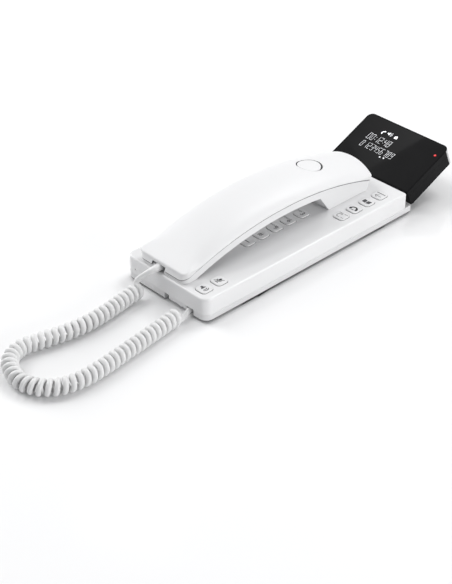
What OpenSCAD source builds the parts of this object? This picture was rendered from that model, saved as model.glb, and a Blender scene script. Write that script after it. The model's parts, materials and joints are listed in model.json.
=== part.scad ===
// Slim corded telephone: a flat base with an arched handset laid along it, a folding display
// at the far end and a curly cord. Millimetres, X across, Y towards the display, Z up.

/* [Base] */
// Width of the base
base_w = 80; // [76:1:90]
// Length of the top cover
base_l = 200; // [198:1:212]
// Height of the top cover above the desk
top_z = 19.2; // [19:0.2:22]
// Height of the parting line above the desk
part_z = 6.6; // [6.4:0.1:7]
// Height that the feet hold the bottom cover off the desk
foot_gap = 0.8; // [0.6:0.1:1.2]
// Thickness of the covers
wall = 2; // [1.8:0.1:2.2]
// Corner radius at the near end
near_r = 6.2; // [4.5:0.1:7]
// Corner radius at the display end
far_r = 1.6; // [1.6:0.1:3]
// Rounding along the top edge
edge_r = 1.5; // [0.6:0.1:1.5]
// How far the bottom cover reaches past the top cover
ledge = 6.4; // [6.2:0.1:6.5]

/* [Display] */
// Half of the display's width is this much short of half the base
display_inset = 1; // [0.5:0.1:3]
// Length of the display along its slope
display_l = 50.1; // [46:0.1:60]
// Thickness of the display
display_t = 14.2; // [13.6:0.1:15]
// Tilt of the display above the desk
tilt = 23.5; // [18:0.5:25]
// Radius of the rounded edge that the display turns on
hinge_r = 2.2; // [2.1:0.1:2.4]
// Corner radius at the display's far end
display_r = 5; // [3:0.5:8]
// Thickness of the front lens
lens_t = 1.6; // [1.2:0.1:2]
// Radius of the hinge pins
pin_r = 1; // [0.8:0.05:1.1]

/* [Keys] */
// Side of a key
key_s = 9.6; // [9:0.1:10.4]
// Corner radius of a key
key_r = 2.6; // [1.5:0.1:3.2]
// Height of a key above the top cover
key_proud = 0.8; // [0.5:0.1:1.2]
// Travel of a key
key_travel = 0.8; // [0.5:0.1:0.9]
// Distance between rows
row_pitch = 13.5; // [13:0.1:14]
// Distance between the number columns
column_pitch = 14; // [13.4:0.1:14.4]

/* [Handset] */
// Width of the handset's back
handset_w = 47; // [45:0.5:51]
// How much shorter the handset is than the top cover
handset_short = 11.7; // [10:0.1:14]
// Corner radius of the handset in plan, at the mouth end
handset_r = 6; // [4:0.5:8]
// The same radius at the ear end
handset_far_r = 2; // [1:0.5:4]
// Thickness of the handset's shells
shell = 1.9; // [1.6:0.1:2.1]
// Height of the top of the handset's back above the desk
ridge_top = 49.5; // [48:0.1:50]
// How far the back drops from its middle to its sides, at the ear end
crown = 7.7; // [6:0.1:9]
// The same drop at the mouth end
mouth_crown = 0.2; // [0.1:0.1:2]
// Depth of the front shell under the seam
arch_depth = 6; // [5.6:0.1:6.4]
// Diameter of the round cap in the handset's back
cap_d = 18.8; // [16:0.2:22]
// Travel of the hook switch plunger
hook_travel = 2.5; // [1.5:0.1:2.5]

/* [Cord] */
// Diameter of the cord's wire
wire_d = 3.4; // [3:0.1:3.4]
// Outer diameter of the curls
coil_d = 12; // [11:0.1:12]
// Number of curls
curls = 54; // [30:1:54]

/* [Hidden] */
$fn = 48;
// running clearances
gap = 0.3;
fit = 0.05;
screw_fit = 0.02;

// --- display position, from the far edge of the top cover ---
display_y0 = base_l - 0.07;
display_z0 = top_z - 1.34;
display_u0 = 1.6;
display_u1 = display_u0 + display_l;
hinge_u = display_u0 + hinge_r;
hinge_w = hinge_r - display_t;
hinge_y = display_y0 + hinge_u * cos(tilt) - hinge_w * sin(tilt);
hinge_z = display_z0 + hinge_u * sin(tilt) + hinge_w * cos(tilt);
display_w = base_w - 2 * display_inset;
frame_t = 5;
lcd_side = 8;
lcd_near = 7;
lcd_far = 12.1;
lcd_t = 2.4;
lamp_side = 5;
lamp_far = 11.4;
lamp_r = 1.4;
display_wall = 1.8;
lens_rim = 1;
lug_w = 6;
lug_in = 20;
lug_x = base_w / 2 - lug_in;
lug_r = 2.9;
lug_gap = 0.4;
pin_l = lug_w + 8;
total_y = display_y0 + display_u1 * cos(tilt) + display_t * sin(tilt);
// the whole part is centred on Y between the near wall and the display's far edge
shift_y = -total_y / 2;

// --- heights inside the base ---
floor_t = wall;
floor_z = foot_gap + floor_t;
board_z = 8;
board_t = 1.6;
board_top = board_z + board_t;
ceiling_z = top_z - wall;

// --- number keys, function keys and audio keys: centres from the near wall ---
number_x = -7;
number_y = base_l - 130.1;
side_in = 11.4;
side_x = base_w / 2 - side_in;
function_y = base_l - 58;
audio_y = 9.3;
flange_rim = 0.8;
flange_s = key_s + 2 * flange_rim;
flange_t = 0.9;
mat_t = 1.8;
mat_rim = 6;
side_mat_rim = 5;
stem_l = 1.5;
dome_r = 3.2;
stem_r = 2.4;

// --- feet, screws ---
foot_r = 6;
foot_seat = 0.6;
foot_x = base_w / 2 - 9;
foot_y = [30, base_l - 18];
screw_x = base_w / 2 - 7;
screw_y = [46, base_l - 6.5];
screw_r = 1.4;
screw_head_r = 2.8;
screw_head_t = 1.5;
screw_l = 12;
boss_r = 3.1;

// --- hook switch, under the ear end of the handset ---
hook_x = -7;
hook_y = base_l - 52;
hook_r = 2.5;
hook_flange_r = 4;
hook_flange_t = 1.2;
hook_flange_z = ceiling_z - 0.2 - hook_travel - hook_flange_t;
hook_pin_r = 1.5;
spring_in = 2;
spring_out = 3.1;

// --- handset: a body bent to an arch, its seam, belly and ridges being arcs in side view ---
hand_x = -6;
hand_y = 0.7;
handset_l = base_l - handset_short;
hand_end = hand_y + handset_l;
hand_z = top_z + 0.1;
function arc_r(half, drop) = (half * half + drop * drop) / (2 * drop);
seam_y = hand_y + 0.53 * handset_l;
seam_top = 40.3;
seam_r = arc_r(seam_y - hand_y, 19.06);
ridge_y = hand_y + 0.581 * handset_l;
ridge_r = arc_r(ridge_y - hand_y, 25.6);
// a second ridge, higher towards the mouth end, carries the rounder section of the ear end
dome_y = hand_y + 0.4833 * handset_l;
dome_top = ridge_top + 0.45;
dome_ridge_r = arc_r(dome_y - hand_y, 11.44);
side_round = 3;
belly_r = seam_r - arch_depth;
near_lean_a = 20;
far_lean_a = 16.3;
front_inset = 0.8;
lip = 1.4;
ear_y0 = hand_end - 47;
ear_y1 = hand_end - 5.1;
ear_slope_y = hand_end - 56.7;
cap_y = hand_end - 44.8;
cap_t = 1;
cap_ring = 0.3;
receiver_y = hand_end - 21;
receiver_r = 12;
receiver_t = 5.5;
grille_r = 9;
grille_t = 1;
mouth_y = 30;
mouth_r = 4.8;
mouth_t = 3;
weight_w = 30;
weight_l = 30;
weight_t = 3;

// --- plugs and sockets of the cord ---
plug_w = 7.4;
plug_h = 4.4;
plug_gap = 0.12;
plug_l = 12;
plug_boot = 3;
socket_w = plug_w + 2.4;
hand_plug_x = -8.5;
hand_plug_y = 3.3;
hand_plug_z = hand_z + 2.9;
hand_jack_y = 7.8;
base_plug_x = base_w / 2 - 16.3;
base_plug_y = 4;
base_plug_z = 4.1;
notch_x0 = -1;
notch_x1 = base_plug_x + plug_w / 2 + gap;
notch_w = 4.4;
rib_z = 3.4;
recess_wall = 1.2;
recess_top = board_z - 0.2;
jack_y = 8;
jack_l = 13;

// --- line socket in the left wall ---
line_y = base_l - 50;
line_w = 13.2;
line_h = 11.6;
line_l = 13;
line_z = 3.2;
line_hole_w = 9.9;
line_hole_h = 7;
line_hole_l = 11;

// --- loudspeaker and wall slots ---
speaker_y = 44;
speaker_r = 18;
keyhole_y = [75, base_l - 42];
keyhole_r = 4.2;
keyhole_slot = 2.2;
keyhole_l = 10;
mic_x = 9.8 - base_w / 2;
mic_z = part_z + 4;

// --- route of the curly part on the desk, from the handset's lead round to the base's lead ---
route = [[-15.5, -11], [-13, -27], [-10.5, -43], [-9.5, -59], [-11, -75], [-14.5, -91], [-17.5, -104],
    [-16, -114], [-10, -122], [0, -127], [11, -128.5], [22, -124.5], [30, -116], [34, -104], [34.5, -90],
    [33, -74], [31, -58], [29, -42], [27, -26], [25, -11.5]];

module place() {
    translate([0, shift_y, 0]) children();
}

module plan(x0, x1, y0, y1, rn, rf) {
    translate([x0 + rn, y0]) square([x1 - x0 - 2 * rn, y1 - y0 - rf]);
    translate([x0 + rf, y0 + rn]) square([x1 - x0 - 2 * rf, y1 - y0 - rn]);
    translate([x0, y0 + rn]) square([x1 - x0, y1 - y0 - rn - rf]);
    translate([x0 + rn, y0 + rn]) circle(rn);
    translate([x1 - rn, y0 + rn]) circle(rn);
    translate([x0 + rf, y1 - rf]) circle(rf);
    translate([x1 - rf, y1 - rf]) circle(rf);
}

module base_plan(inset, y1) {
    plan(inset - base_w / 2, base_w / 2 - inset, inset, y1 - inset,
        max(near_r - inset, 0.5), max(far_r - inset, 0.5));
}

// ---- the rounding along the top edge of the top cover ----
module edge_profile() {
    difference() {
        translate([-edge_r, -edge_r]) square(edge_r + 1);
        translate([-edge_r, -edge_r]) circle(edge_r);
    }
}

module side_edge(x) {
    translate([x, base_l - far_r, top_z]) rotate([90, 0, 0])
        linear_extrude(base_l - near_r - far_r) edge_profile();
}

module corner_edge(x, y, r, turn) {
    translate([x, y, top_z]) rotate([0, 0, turn])
        rotate_extrude(angle = 90) translate([r, 0]) edge_profile();
}

module top_edges() {
    side_edge(base_w / 2);
    mirror([1, 0, 0]) side_edge(base_w / 2);
    translate([base_w / 2 - near_r, 0, top_z]) rotate([90, 0, -90])
        linear_extrude(base_w - 2 * near_r) edge_profile();
    translate([far_r - base_w / 2, base_l, top_z]) rotate([90, 0, 90])
        linear_extrude(base_w - 2 * far_r) edge_profile();
    corner_edge(base_w / 2 - near_r, near_r, near_r, -90);
    corner_edge(near_r - base_w / 2, near_r, near_r, 180);
    corner_edge(base_w / 2 - far_r, base_l - far_r, far_r, 0);
    corner_edge(far_r - base_w / 2, base_l - far_r, far_r, 90);
}

// ---- keys ----
module key_plan(s, r) {
    plan(-s / 2, s / 2, -s / 2, s / 2, r, r);
}

module key_holes() {
    for (c = [-1:1])
        for (r = [0:4])
            key_hole(number_x + c * column_pitch, number_y + r * row_pitch);
    for (r = [0:3])
        key_hole(side_x, function_y + r * row_pitch);
    for (r = [0:1])
        key_hole(side_x, audio_y + r * row_pitch);
}

module key_hole(x, y) {
    translate([x, y, ceiling_z - 1]) linear_extrude(wall + 2) key_plan(key_s + 2 * gap, key_r + gap);
}

module key(x, y) {
    place() translate([x, y, 0]) {
        translate([0, 0, ceiling_z - 0.2 - flange_t]) linear_extrude(flange_t)
            key_plan(flange_s, key_r);
        translate([0, 0, ceiling_z - 0.2 - flange_t])
            linear_extrude(top_z + key_proud - ceiling_z + 0.2 + flange_t) key_plan(key_s, key_r);
        translate([0, 0, ceiling_z - 0.2 - flange_t - 1]) cylinder(h = stem_l, r = stem_r);
    }
}

module number_key(c, r) {
    color("gainsboro") key(number_x + c * column_pitch, number_y + r * row_pitch);
}

module side_key(y) {
    color("gainsboro") key(side_x, y);
}

module key_mat(x0, x1, y0, y1, xs, ys) {
    color("dimgray") place() union() {
        translate([x0, y0, board_top]) cube([x1 - x0, y1 - y0, mat_t]);
        for (x = xs)
            for (y = ys)
                translate([x, y, board_top])
                    cylinder(h = ceiling_z - 1.4 - flange_t - key_travel - board_top, r = dome_r);
    }
}

module number_mat() {
    key_mat(number_x - column_pitch - mat_rim, number_x + column_pitch + mat_rim,
        number_y - mat_rim, number_y + 4 * row_pitch + mat_rim,
        [for (c = [-1:1]) number_x + c * column_pitch], [for (r = [0:4]) number_y + r * row_pitch]);
}

module function_mat() {
    key_mat(side_x - side_mat_rim, side_x + side_mat_rim,
        function_y - side_mat_rim, function_y + 3 * row_pitch + side_mat_rim,
        [side_x], [for (r = [0:3]) function_y + r * row_pitch]);
}

module audio_mat() {
    key_mat(side_x - side_mat_rim, side_x + side_mat_rim,
        audio_y - side_mat_rim, audio_y + row_pitch + side_mat_rim,
        [side_x], [for (r = [0:1]) audio_y + r * row_pitch]);
}

// ---- base ----
module screw_places() {
    for (sx = [-1, 1])
        for (sy = screw_y)
            translate([sx * screw_x, sy, 0]) children();
}

module top_housing() {
    color("white") place() difference() {
        union() {
            difference() {
                translate([0, 0, part_z]) linear_extrude(top_z - part_z) base_plan(0, base_l);
                translate([0, 0, part_z - 1]) linear_extrude(ceiling_z - part_z + 1)
                    base_plan(wall, base_l);
            }
            screw_places() translate([0, 0, board_top])
                cylinder(h = ceiling_z + 0.5 - board_top, r = boss_r);
            translate([mic_x, wall - 0.5, mic_z]) rotate([-90, 0, 0]) cylinder(h = 3.1, r = 3.3);
        }
        top_edges();
        key_holes();
        screw_places() translate([0, 0, board_top - 1])
            cylinder(h = foot_gap + screw_l + 1.2 + 1 - board_top + 1, r = screw_r + screw_fit);
        translate([hook_x, hook_y, ceiling_z - 1]) cylinder(h = wall + 2, r = hook_r + gap);
        translate([mic_x, -1, mic_z]) rotate([-90, 0, 0]) cylinder(h = wall + 2, r = 0.6);
        translate([mic_x, wall, mic_z]) rotate([-90, 0, 0]) cylinder(h = 4, r = 2.5 + fit);
        translate([-base_w / 2 - 1, line_y - line_w / 2 - 0.1, line_z - 0.1])
            cube([wall + 2, line_w + 0.2, line_h + 0.2]);
    }
}

module keyhole() {
    translate([0, 0, foot_gap - 1]) cylinder(h = floor_t + 2, r = keyhole_r);
    translate([-keyhole_slot, 0, foot_gap - 1])
        cube([2 * keyhole_slot, keyhole_l, floor_t + 2]);
    translate([0, keyhole_l, foot_gap - 1]) cylinder(h = floor_t + 2, r = keyhole_slot);
}

module lug(side) {
    x0 = side > 0 ? lug_x : -lug_x - lug_w;
    translate([x0, 0, 0]) rotate([90, 0, 90]) linear_extrude(lug_w) {
        translate([hinge_y, hinge_z]) circle(lug_r);
        polygon([[base_l + 2, foot_gap + 1.4], [base_l + ledge + 0.6, foot_gap + 1.4],
            [hinge_y + lug_r * cos(45), hinge_z - lug_r * sin(45)],
            [hinge_y - lug_r * cos(45), hinge_z + lug_r * sin(45)],
            [base_l + 4.4, part_z], [base_l + 2, part_z]]);
    }
}

module bottom_housing() {
    color("whitesmoke") place() difference() {
        union() {
            difference() {
                translate([0, 0, foot_gap]) linear_extrude(part_z - foot_gap)
                    base_plan(0, base_l + ledge);
                translate([0, 0, floor_z]) linear_extrude(part_z - foot_gap)
                    base_plan(wall, base_l);
            }
            screw_places() translate([0, 0, floor_z - 0.5])
                cylinder(h = board_z - floor_z + 0.5, r = boss_r + 0.5);
            // walls and roof of the recess for the cord's plug
            difference() {
                translate([notch_x0 - recess_wall, wall - 0.5, foot_gap])
                    cube([notch_x1 - notch_x0 + 2 * recess_wall, jack_y - wall + 0.5, recess_top - foot_gap]);
                translate([notch_x0 - recess_wall - 1, 0, part_z])
                    cube([notch_x1 - notch_x0 + 2 * recess_wall + 2, wall + 0.1, 10]);
            }
            translate([notch_x0 - recess_wall, jack_y - 0.1, foot_gap])
                cube([base_plug_x - socket_w / 2 - 0.3 - notch_x0 + recess_wall, recess_wall, recess_top - foot_gap]);
            // ring that locates the loudspeaker
            translate([0, speaker_y, floor_z - 0.5]) difference() {
                cylinder(h = 2.5, r = speaker_r + 1.4);
                translate([0, 0, -1]) cylinder(h = 5, r = speaker_r + 0.1);
            }
            lug(1);
            lug(-1);
        }
        // low opening in the near wall, with two notches up to the parting line
        translate([notch_x0, -1, foot_gap - 1]) cube([notch_x1 - notch_x0, jack_y + 1, rib_z - foot_gap + 1]);
        translate([notch_x0, wall + 1, foot_gap - 1])
            cube([notch_x1 - notch_x0, jack_y - wall - 1, part_z + 1.4 - foot_gap]);
        translate([notch_x0, -1, foot_gap]) cube([notch_w, wall + 2.1, part_z + 0.4 - foot_gap]);
        translate([base_plug_x - wire_d / 2 - 0.6, -1, foot_gap])
            cube([notch_x1 - base_plug_x + wire_d / 2 + 0.6, wall + 2.1, part_z + 0.4 - foot_gap]);
        // seat of the cord jack
        translate([base_plug_x - socket_w / 2 - 0.3, jack_y - 0.1, foot_gap - 1])
            cube([socket_w + 0.6, jack_l + 0.4, board_z]);
        for (sx = [-1, 1])
            for (fy = foot_y)
                translate([sx * foot_x, fy, foot_gap - 1]) cylinder(h = foot_seat + 1, r = foot_r + 0.1);
        screw_places() {
            translate([0, 0, foot_gap - 1]) cylinder(h = 1 + screw_head_t + 0.2, r = screw_head_r + 0.2);
            translate([0, 0, foot_gap]) cylinder(h = 10, r = screw_r + 0.2);
        }
        for (ky = keyhole_y)
            translate([0, ky, 0]) keyhole();
        for (i = [-2:2])
            translate([-12, speaker_y + i * 5 - 1, foot_gap - 1]) cube([24, 2, floor_t + 2]);
        translate([-base_w / 2 - 1, line_y - line_w / 2 - 0.1, line_z - 0.1])
            cube([wall + 2, line_w + 0.2, line_h]);
        // bores of the hinge pins
        for (sx = [-1, 1])
            translate([sx * (lug_x + lug_w / 2), hinge_y, hinge_z]) rotate([0, 90, 0])
                cylinder(h = lug_w + 2, r = pin_r + fit, center = true);
    }
}

module main_board() {
    color("darkgreen") place() difference() {
        translate([0, 0, board_z]) linear_extrude(board_t) base_plan(wall + 0.4, base_l);
        screw_places() translate([0, 0, board_z - 1]) cylinder(h = board_t + 2, r = screw_r + 0.2);
        translate([mic_x - 4.5, 0, board_z - 1]) cube([9, 7, board_t + 2]);
        translate([-base_w / 2, line_y - line_w / 2 - 0.3, board_z - 1])
            cube([line_l + 0.9, line_w + 0.6, board_t + 2]);
    }
}

module foot(sx, fy) {
    color("dimgray") place() translate([sx * foot_x, fy, 0]) cylinder(h = foot_gap + foot_seat, r = foot_r);
}

module cover_screw(sx, sy) {
    color("silver") place() translate([sx * screw_x, sy, foot_gap + 0.2]) difference() {
        union() {
            cylinder(h = screw_head_t, r = screw_head_r);
            cylinder(h = screw_l, r = screw_r);
        }
        translate([-1.8, -0.35, -1]) cube([3.6, 0.7, 1.7]);
        translate([-0.35, -1.8, -1]) cube([0.7, 3.6, 1.7]);
    }
}

module loudspeaker() {
    color("slategray") place() translate([0, speaker_y, floor_z]) union() {
        cylinder(h = 1.6, r = speaker_r);
        cylinder(h = 3, r = speaker_r - 5);
        cylinder(h = board_z - floor_z - 0.1, r = 8);
    }
}

module base_mic() {
    color("dimgray") place() translate([mic_x, wall, mic_z]) rotate([-90, 0, 0]) cylinder(h = 2.4, r = 2.5);
}

// ---- jacks and plugs: the plug lies along Y and its rear face looks towards -Y ----
module socket_body(l, up) {
    difference() {
        translate([-socket_w / 2, 0, -plug_h / 2 - 0.5]) cube([socket_w, l, plug_h + 0.5 + up]);
        translate([-plug_w / 2 - plug_gap, -1, -plug_h / 2 - plug_gap])
            cube([plug_w + 2 * plug_gap, l, plug_h + 2 * plug_gap]);
    }
}

module plug_body() {
    difference() {
        union() {
            translate([-plug_w / 2, plug_boot, -plug_h / 2]) cube([plug_w, plug_l - plug_boot, plug_h]);
            translate([-plug_w / 2 + 0.8, 0, -plug_h / 2 + 0.5]) cube([plug_w - 1.6, plug_boot + 1, plug_h - 1]);
        }
        for (i = [-1.5:1:1.5])
            translate([i * 1.1 - 0.25, plug_l - 4, plug_h / 2 - 1]) cube([0.5, 5, 2]);
    }
}

module base_jack() {
    color("dimgray") place() translate([base_plug_x, jack_y, base_plug_z]) socket_body(jack_l, board_z - base_plug_z - plug_h / 2);
}

module base_plug() {
    color("lightgray") place() translate([base_plug_x, base_plug_y, base_plug_z]) plug_body();
}

module line_jack() {
    color("dimgray") place() translate([-base_w / 2 + 0.3, line_y, line_z]) difference() {
        translate([0, -line_w / 2, 0]) cube([line_l, line_w, line_h]);
        translate([-1, -line_hole_w / 2, 2.2]) cube([line_hole_l + 1, line_hole_w, line_hole_h]);
        translate([-1, -2, 1]) cube([5, 4, 2]);
    }
}

module hook_plunger() {
    color("silver") place() translate([hook_x, hook_y, 0]) union() {
        translate([0, 0, hook_flange_z]) cylinder(h = top_z - hook_flange_z, r = hook_r);
        translate([0, 0, hook_flange_z]) cylinder(h = hook_flange_t, r = hook_flange_r);
        translate([0, 0, board_top + 0.9]) cylinder(h = hook_flange_z - board_top - 0.8, r = hook_pin_r);
    }
}

module hook_spring() {
    color("silver") place() translate([hook_x, hook_y, board_top]) difference() {
        cylinder(h = hook_flange_z - board_top, r = spring_out);
        translate([0, 0, -1]) cylinder(h = hook_flange_z - board_top + 2, r = spring_in);
    }
}

// ---- display: modelled flat with its face at zero, then tilted ----
module tilted() {
    place() translate([0, display_y0, display_z0]) rotate([tilt, 0, 0]) children();
}

module display_plan(inset) {
    r = max(display_r - inset, 0.6);
    plan(inset - display_w / 2, display_w / 2 - inset, display_u0 + inset, display_u1 - inset, 0.8, r);
}

module display_frame() {
    color("black") tilted() difference() {
        translate([0, 0, -frame_t]) linear_extrude(frame_t) display_plan(0);
        translate([0, 0, -lens_t]) linear_extrude(lens_t + 1) display_plan(lens_rim);
        translate([0, 0, -frame_t - 1]) linear_extrude(frame_t + 2) display_plan(lens_rim + 1.6);
    }
}

module display_lens() {
    color([0.1, 0.1, 0.12, 0.6]) tilted() translate([0, 0, -lens_t])
        linear_extrude(lens_t) display_plan(lens_rim + 0.02);
}

module hinge_block(side) {
    x0 = lug_x - 6;
    w = lug_w + 12;
    translate([side > 0 ? x0 : -x0 - w, 0, 0]) rotate([90, 0, 90]) linear_extrude(w) {
        translate([hinge_u, hinge_w]) circle(hinge_r);
        translate([hinge_u, -display_t]) square([4, 5]);
        translate([display_u0, hinge_w]) square([4 + hinge_r, 5 - hinge_r]);
    }
}

module display_back() {
    t = display_t - frame_t;
    color("black") tilted() difference() {
        union() {
            difference() {
                translate([0, 0, -display_t]) linear_extrude(t) display_plan(0);
                translate([0, 0, -display_t + display_wall]) linear_extrude(t) display_plan(display_wall);
            }
            hinge_block(1);
            hinge_block(-1);
            for (sx = [-1, 1])
                for (u = [12, display_l - 6])
                    translate([sx * (display_w / 2 - 7), display_u0 + u, -display_t + 1])
                        cylinder(h = t - 2.6, r = 2);
        }
        // the rounded edge that the display turns on
        translate([-display_w / 2 - 1, 0, 0]) rotate([90, 0, 90]) linear_extrude(display_w + 2) difference() {
            translate([display_u0 - 2, -display_t - 2]) square([2 + hinge_r, 2 + hinge_r]);
            translate([hinge_u, hinge_w]) circle(hinge_r);
        }
        // slots for the lugs, and bores for the pins
        for (sx = [-1, 1]) {
            translate([sx > 0 ? lug_x - lug_gap : -lug_x - lug_w - lug_gap, display_u0 - 1, -display_t - 1])
                cube([lug_w + 2 * lug_gap, hinge_u + lug_r + lug_gap - display_u0 + 1,
                    hinge_w + lug_r + lug_gap + display_t + 1]);
            translate([sx * (lug_x + lug_w / 2), hinge_u, hinge_w]) rotate([0, 90, 0])
                cylinder(h = pin_l + 0.4, r = pin_r + screw_fit, center = true);
        }
    }
}

module lcd_panel() {
    color("darkslategray") tilted()
        translate([lcd_side - display_w / 2, display_u0 + lcd_near, -lens_t - lcd_t - fit])
            cube([display_w - 2 * lcd_side, display_l - lcd_near - lcd_far, lcd_t]);
}

module display_board() {
    color("darkgreen") tilted() difference() {
        translate([0, 0, -frame_t - 1.6]) linear_extrude(1.6) display_plan(display_wall + 0.4);
        for (sx = [-1, 1])
            translate([sx > 0 ? lug_x - 7 : -lug_x - lug_w - 7, -1, -frame_t - 3])
                cube([lug_w + 14, 1, 4]);
    }
}

module message_lamp() {
    color("red") tilted() translate([display_w / 2 - lamp_side, display_u1 - lamp_far, -frame_t])
        cylinder(h = frame_t - lens_t - fit, r = lamp_r);
}

module hinge_pin(side) {
    color("silver") place() translate([side * (lug_x + lug_w / 2), hinge_y, hinge_z])
        rotate([0, 90, 0]) cylinder(h = pin_l, r = pin_r, center = true);
}

// ---- handset: plans, and solids between arcs seen from the side ----
// half of the handset's plan, rounded at one end and leaning with that end
module near_prism(side, near) {
    r = max(handset_r - side, 0.8);
    translate([0, hand_y, hand_z]) rotate([-near_lean_a, 0, 0]) translate([0, 0, -handset_l])
        linear_extrude(2 * handset_l)
            plan(hand_x - handset_w / 2 + side, hand_x + handset_w / 2 - side, near, 2 * handset_l, r, r);
}

module far_prism(side, far) {
    r = max(handset_far_r - side, 0.8);
    translate([0, ear_y1, hand_z]) rotate([-far_lean_a, 0, 0]) translate([0, 0, -handset_l])
        linear_extrude(2 * handset_l)
            plan(hand_x - handset_w / 2 + side, hand_x + handset_w / 2 - side, -2 * handset_l, -far, r, r);
}

module hand_body(side, near, far) {
    intersection() {
        near_prism(side, near);
        far_prism(side, far);
    }
}

// section of the crowned back: the ridge at zero, a flat arc, and a small round at each side
function back_z(x, c) = -c * x * x * 4 / (handset_w * handset_w);
function back_section(half, round, c) = let(q = atan(8 * c * (half - round) / (handset_w * handset_w)),
    e = half - round * (1 - sin(q)), ey = e - round * sin(q), ez = back_z(e, c) - round * cos(q)) concat(
    [[ez - 20, -half], [ez, -half]],
    [for (k = [1:4]) let(a = (90 - q) * k / 5) [ez + round * sin(a), -ey - round * cos(a)]],
    [for (i = [-8:8]) [back_z(e * i / 8, c), e * i / 8]],
    [for (k = [4:-1:1]) let(a = (90 - q) * k / 5) [ez + round * sin(a), ey + round * cos(a)]],
    [[ez, half], [ez - 20, half]]);

// everything under an arc in side view
module under_arc(y, top, r) {
    translate([hand_x - handset_w / 2 - 2, y, top - r]) rotate([0, 90, 0])
        cylinder(h = handset_w + 4, r = r, $fn = 480);
}

// a side profile in Y and Z, swept across the handset
module across() {
    translate([hand_x - handset_w / 2 - 2, 0, 0]) rotate([90, 0, 90])
        linear_extrude(handset_w + 4) children();
}

module ridge_solid(y, top, r, inset, c) {
    translate([hand_x, y, top - r]) rotate([0, 90, 0]) rotate([0, 0, 155])
        rotate_extrude(angle = 50, $fn = 720)
            translate([r - inset, 0])
                polygon(back_section(handset_w / 2 - inset, max(side_round - inset, 0.8), c));
}

module back_solid(inset, near) {
    intersection() {
        hand_body(inset, near, inset);
        ridge_solid(ridge_y, ridge_top, ridge_r, inset, mouth_crown);
        ridge_solid(dome_y, dome_top, dome_ridge_r, inset, crown);
    }
}

// the ear end is a block that comes down to the base, with a sloping near face
module ear_prism(inset) {
    s = (ear_y0 - ear_slope_y) / 13.2;
    y = ear_y0 + 1.24 * inset;
    across() polygon([[y - s * inset, hand_z + inset], [y - s * 40, hand_z + 40],
        [hand_end + 20, hand_z + 40], [hand_end + 20, hand_z + inset]]);
}

module belly(inset) {
    difference() {
        under_arc(seam_y, seam_top - arch_depth + inset, belly_r + inset);
        ear_prism(inset);
    }
}

module at_mouth() {
    a = asin((seam_y - mouth_y) / seam_r);
    translate([hand_x, seam_y, seam_top - seam_r]) rotate([a, 0, 0])
        translate([0, 0, belly_r]) children();
}

module handset_back() {
    color("white") place() difference() {
        back_solid(0, 0);
        back_solid(shell, -4);
        under_arc(seam_y, seam_top, seam_r);
        // relief in the near lip, over the plug and the cord
        translate([hand_plug_x - 6.5, hand_y - 1, hand_z - 1])
            cube([13, hand_jack_y + 1 - hand_y, hand_plug_z + plug_h / 2 + 0.1 + 1 - hand_z]);
        difference() {
            translate([hand_x, cap_y, ridge_top - 11]) cylinder(h = 12, r = cap_d / 2 + cap_ring);
            back_solid(cap_t, 0);
        }
    }
}

module handset_cap() {
    color("silver") place() intersection() {
        translate([hand_x, cap_y, ridge_top - 11]) cylinder(h = 12, r = cap_d / 2);
        difference() {
            back_solid(0, 0);
            back_solid(cap_t - fit, 0);
        }
    }
}

module front_body(inset) {
    intersection() {
        hand_body(front_inset + inset, lip + inset, front_inset + inset);
        translate([hand_x - handset_w, hand_y - 10, hand_z + inset])
            cube([2 * handset_w, handset_l + 20, 25]);
    }
}

module handset_front() {
    color("whitesmoke") place() difference() {
        union() {
            difference() {
                front_body(0);
                difference() {
                    front_body(shell);
                    belly(shell);
                }
                belly(0);
                difference() {
                    translate([hand_x - handset_w, hand_y - 10, hand_z])
                        cube([2 * handset_w, handset_l + 20, 40]);
                    under_arc(seam_y, seam_top - fit, seam_r - fit);
                }
            }
            // near wall, up to the underside of the back's lip
            intersection() {
                difference() {
                    front_body(0);
                    near_prism(front_inset, lip + shell);
                }
                back_solid(shell + 0.1, 0);
            }
        }
        // seat of the grille, and the holes behind it
        translate([hand_x, receiver_y, hand_z - 1]) cylinder(h = grille_t + 1, r = grille_r + 0.1);
        translate([hand_x, receiver_y, hand_z - 1]) cylinder(h = 5, r = 1.3);
        for (a = [0:60:300])
            translate([hand_x + 5 * cos(a), receiver_y + 5 * sin(a), hand_z - 1]) cylinder(h = 5, r = 1.3);
        for (i = [-1:1])
            at_mouth() translate([i * 2.6, 0, -2]) cylinder(h = shell + 4, r = 0.6);
        // cut-out for the cord's socket
        translate([hand_plug_x - socket_w / 2 - 0.1, hand_y, hand_z - 1])
            cube([socket_w + 0.2, hand_jack_y + jack_l - hand_y + 0.1, 20]);
    }
}

module receiver() {
    color("slategray") place() translate([hand_x, receiver_y, hand_z + shell]) union() {
        cylinder(h = 3, r = receiver_r);
        cylinder(h = receiver_t, r = receiver_r - 3);
    }
}

module receiver_grille() {
    color("silver") place() translate([hand_x, receiver_y, hand_z + fit]) difference() {
        cylinder(h = grille_t - fit, r = grille_r);
        translate([0, 0, -1]) cylinder(h = grille_t + 2, r = 0.7);
        for (k = [1:2])
            for (a = [0:60 / k:359])
                translate([k * 3.2 * cos(a), k * 3.2 * sin(a), -1]) cylinder(h = grille_t + 2, r = 0.7);
    }
}

module transmitter() {
    color("dimgray") place() at_mouth() translate([0, 0, shell + fit]) cylinder(h = mouth_t, r = mouth_r);
}

module handset_socket() {
    color("dimgray") place() translate([hand_plug_x, hand_jack_y, hand_plug_z])
        socket_body(jack_l, 0.5);
}

module handset_weight() {
    color("slategray") place()
        translate([hand_x - weight_w / 2, seam_y - weight_l / 2, seam_top - arch_depth + shell + fit])
            cube([weight_w, weight_l, weight_t]);
}

module handset_plug() {
    color("lightgray") place() translate([hand_plug_x, hand_plug_y, hand_plug_z]) plug_body();
}

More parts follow.
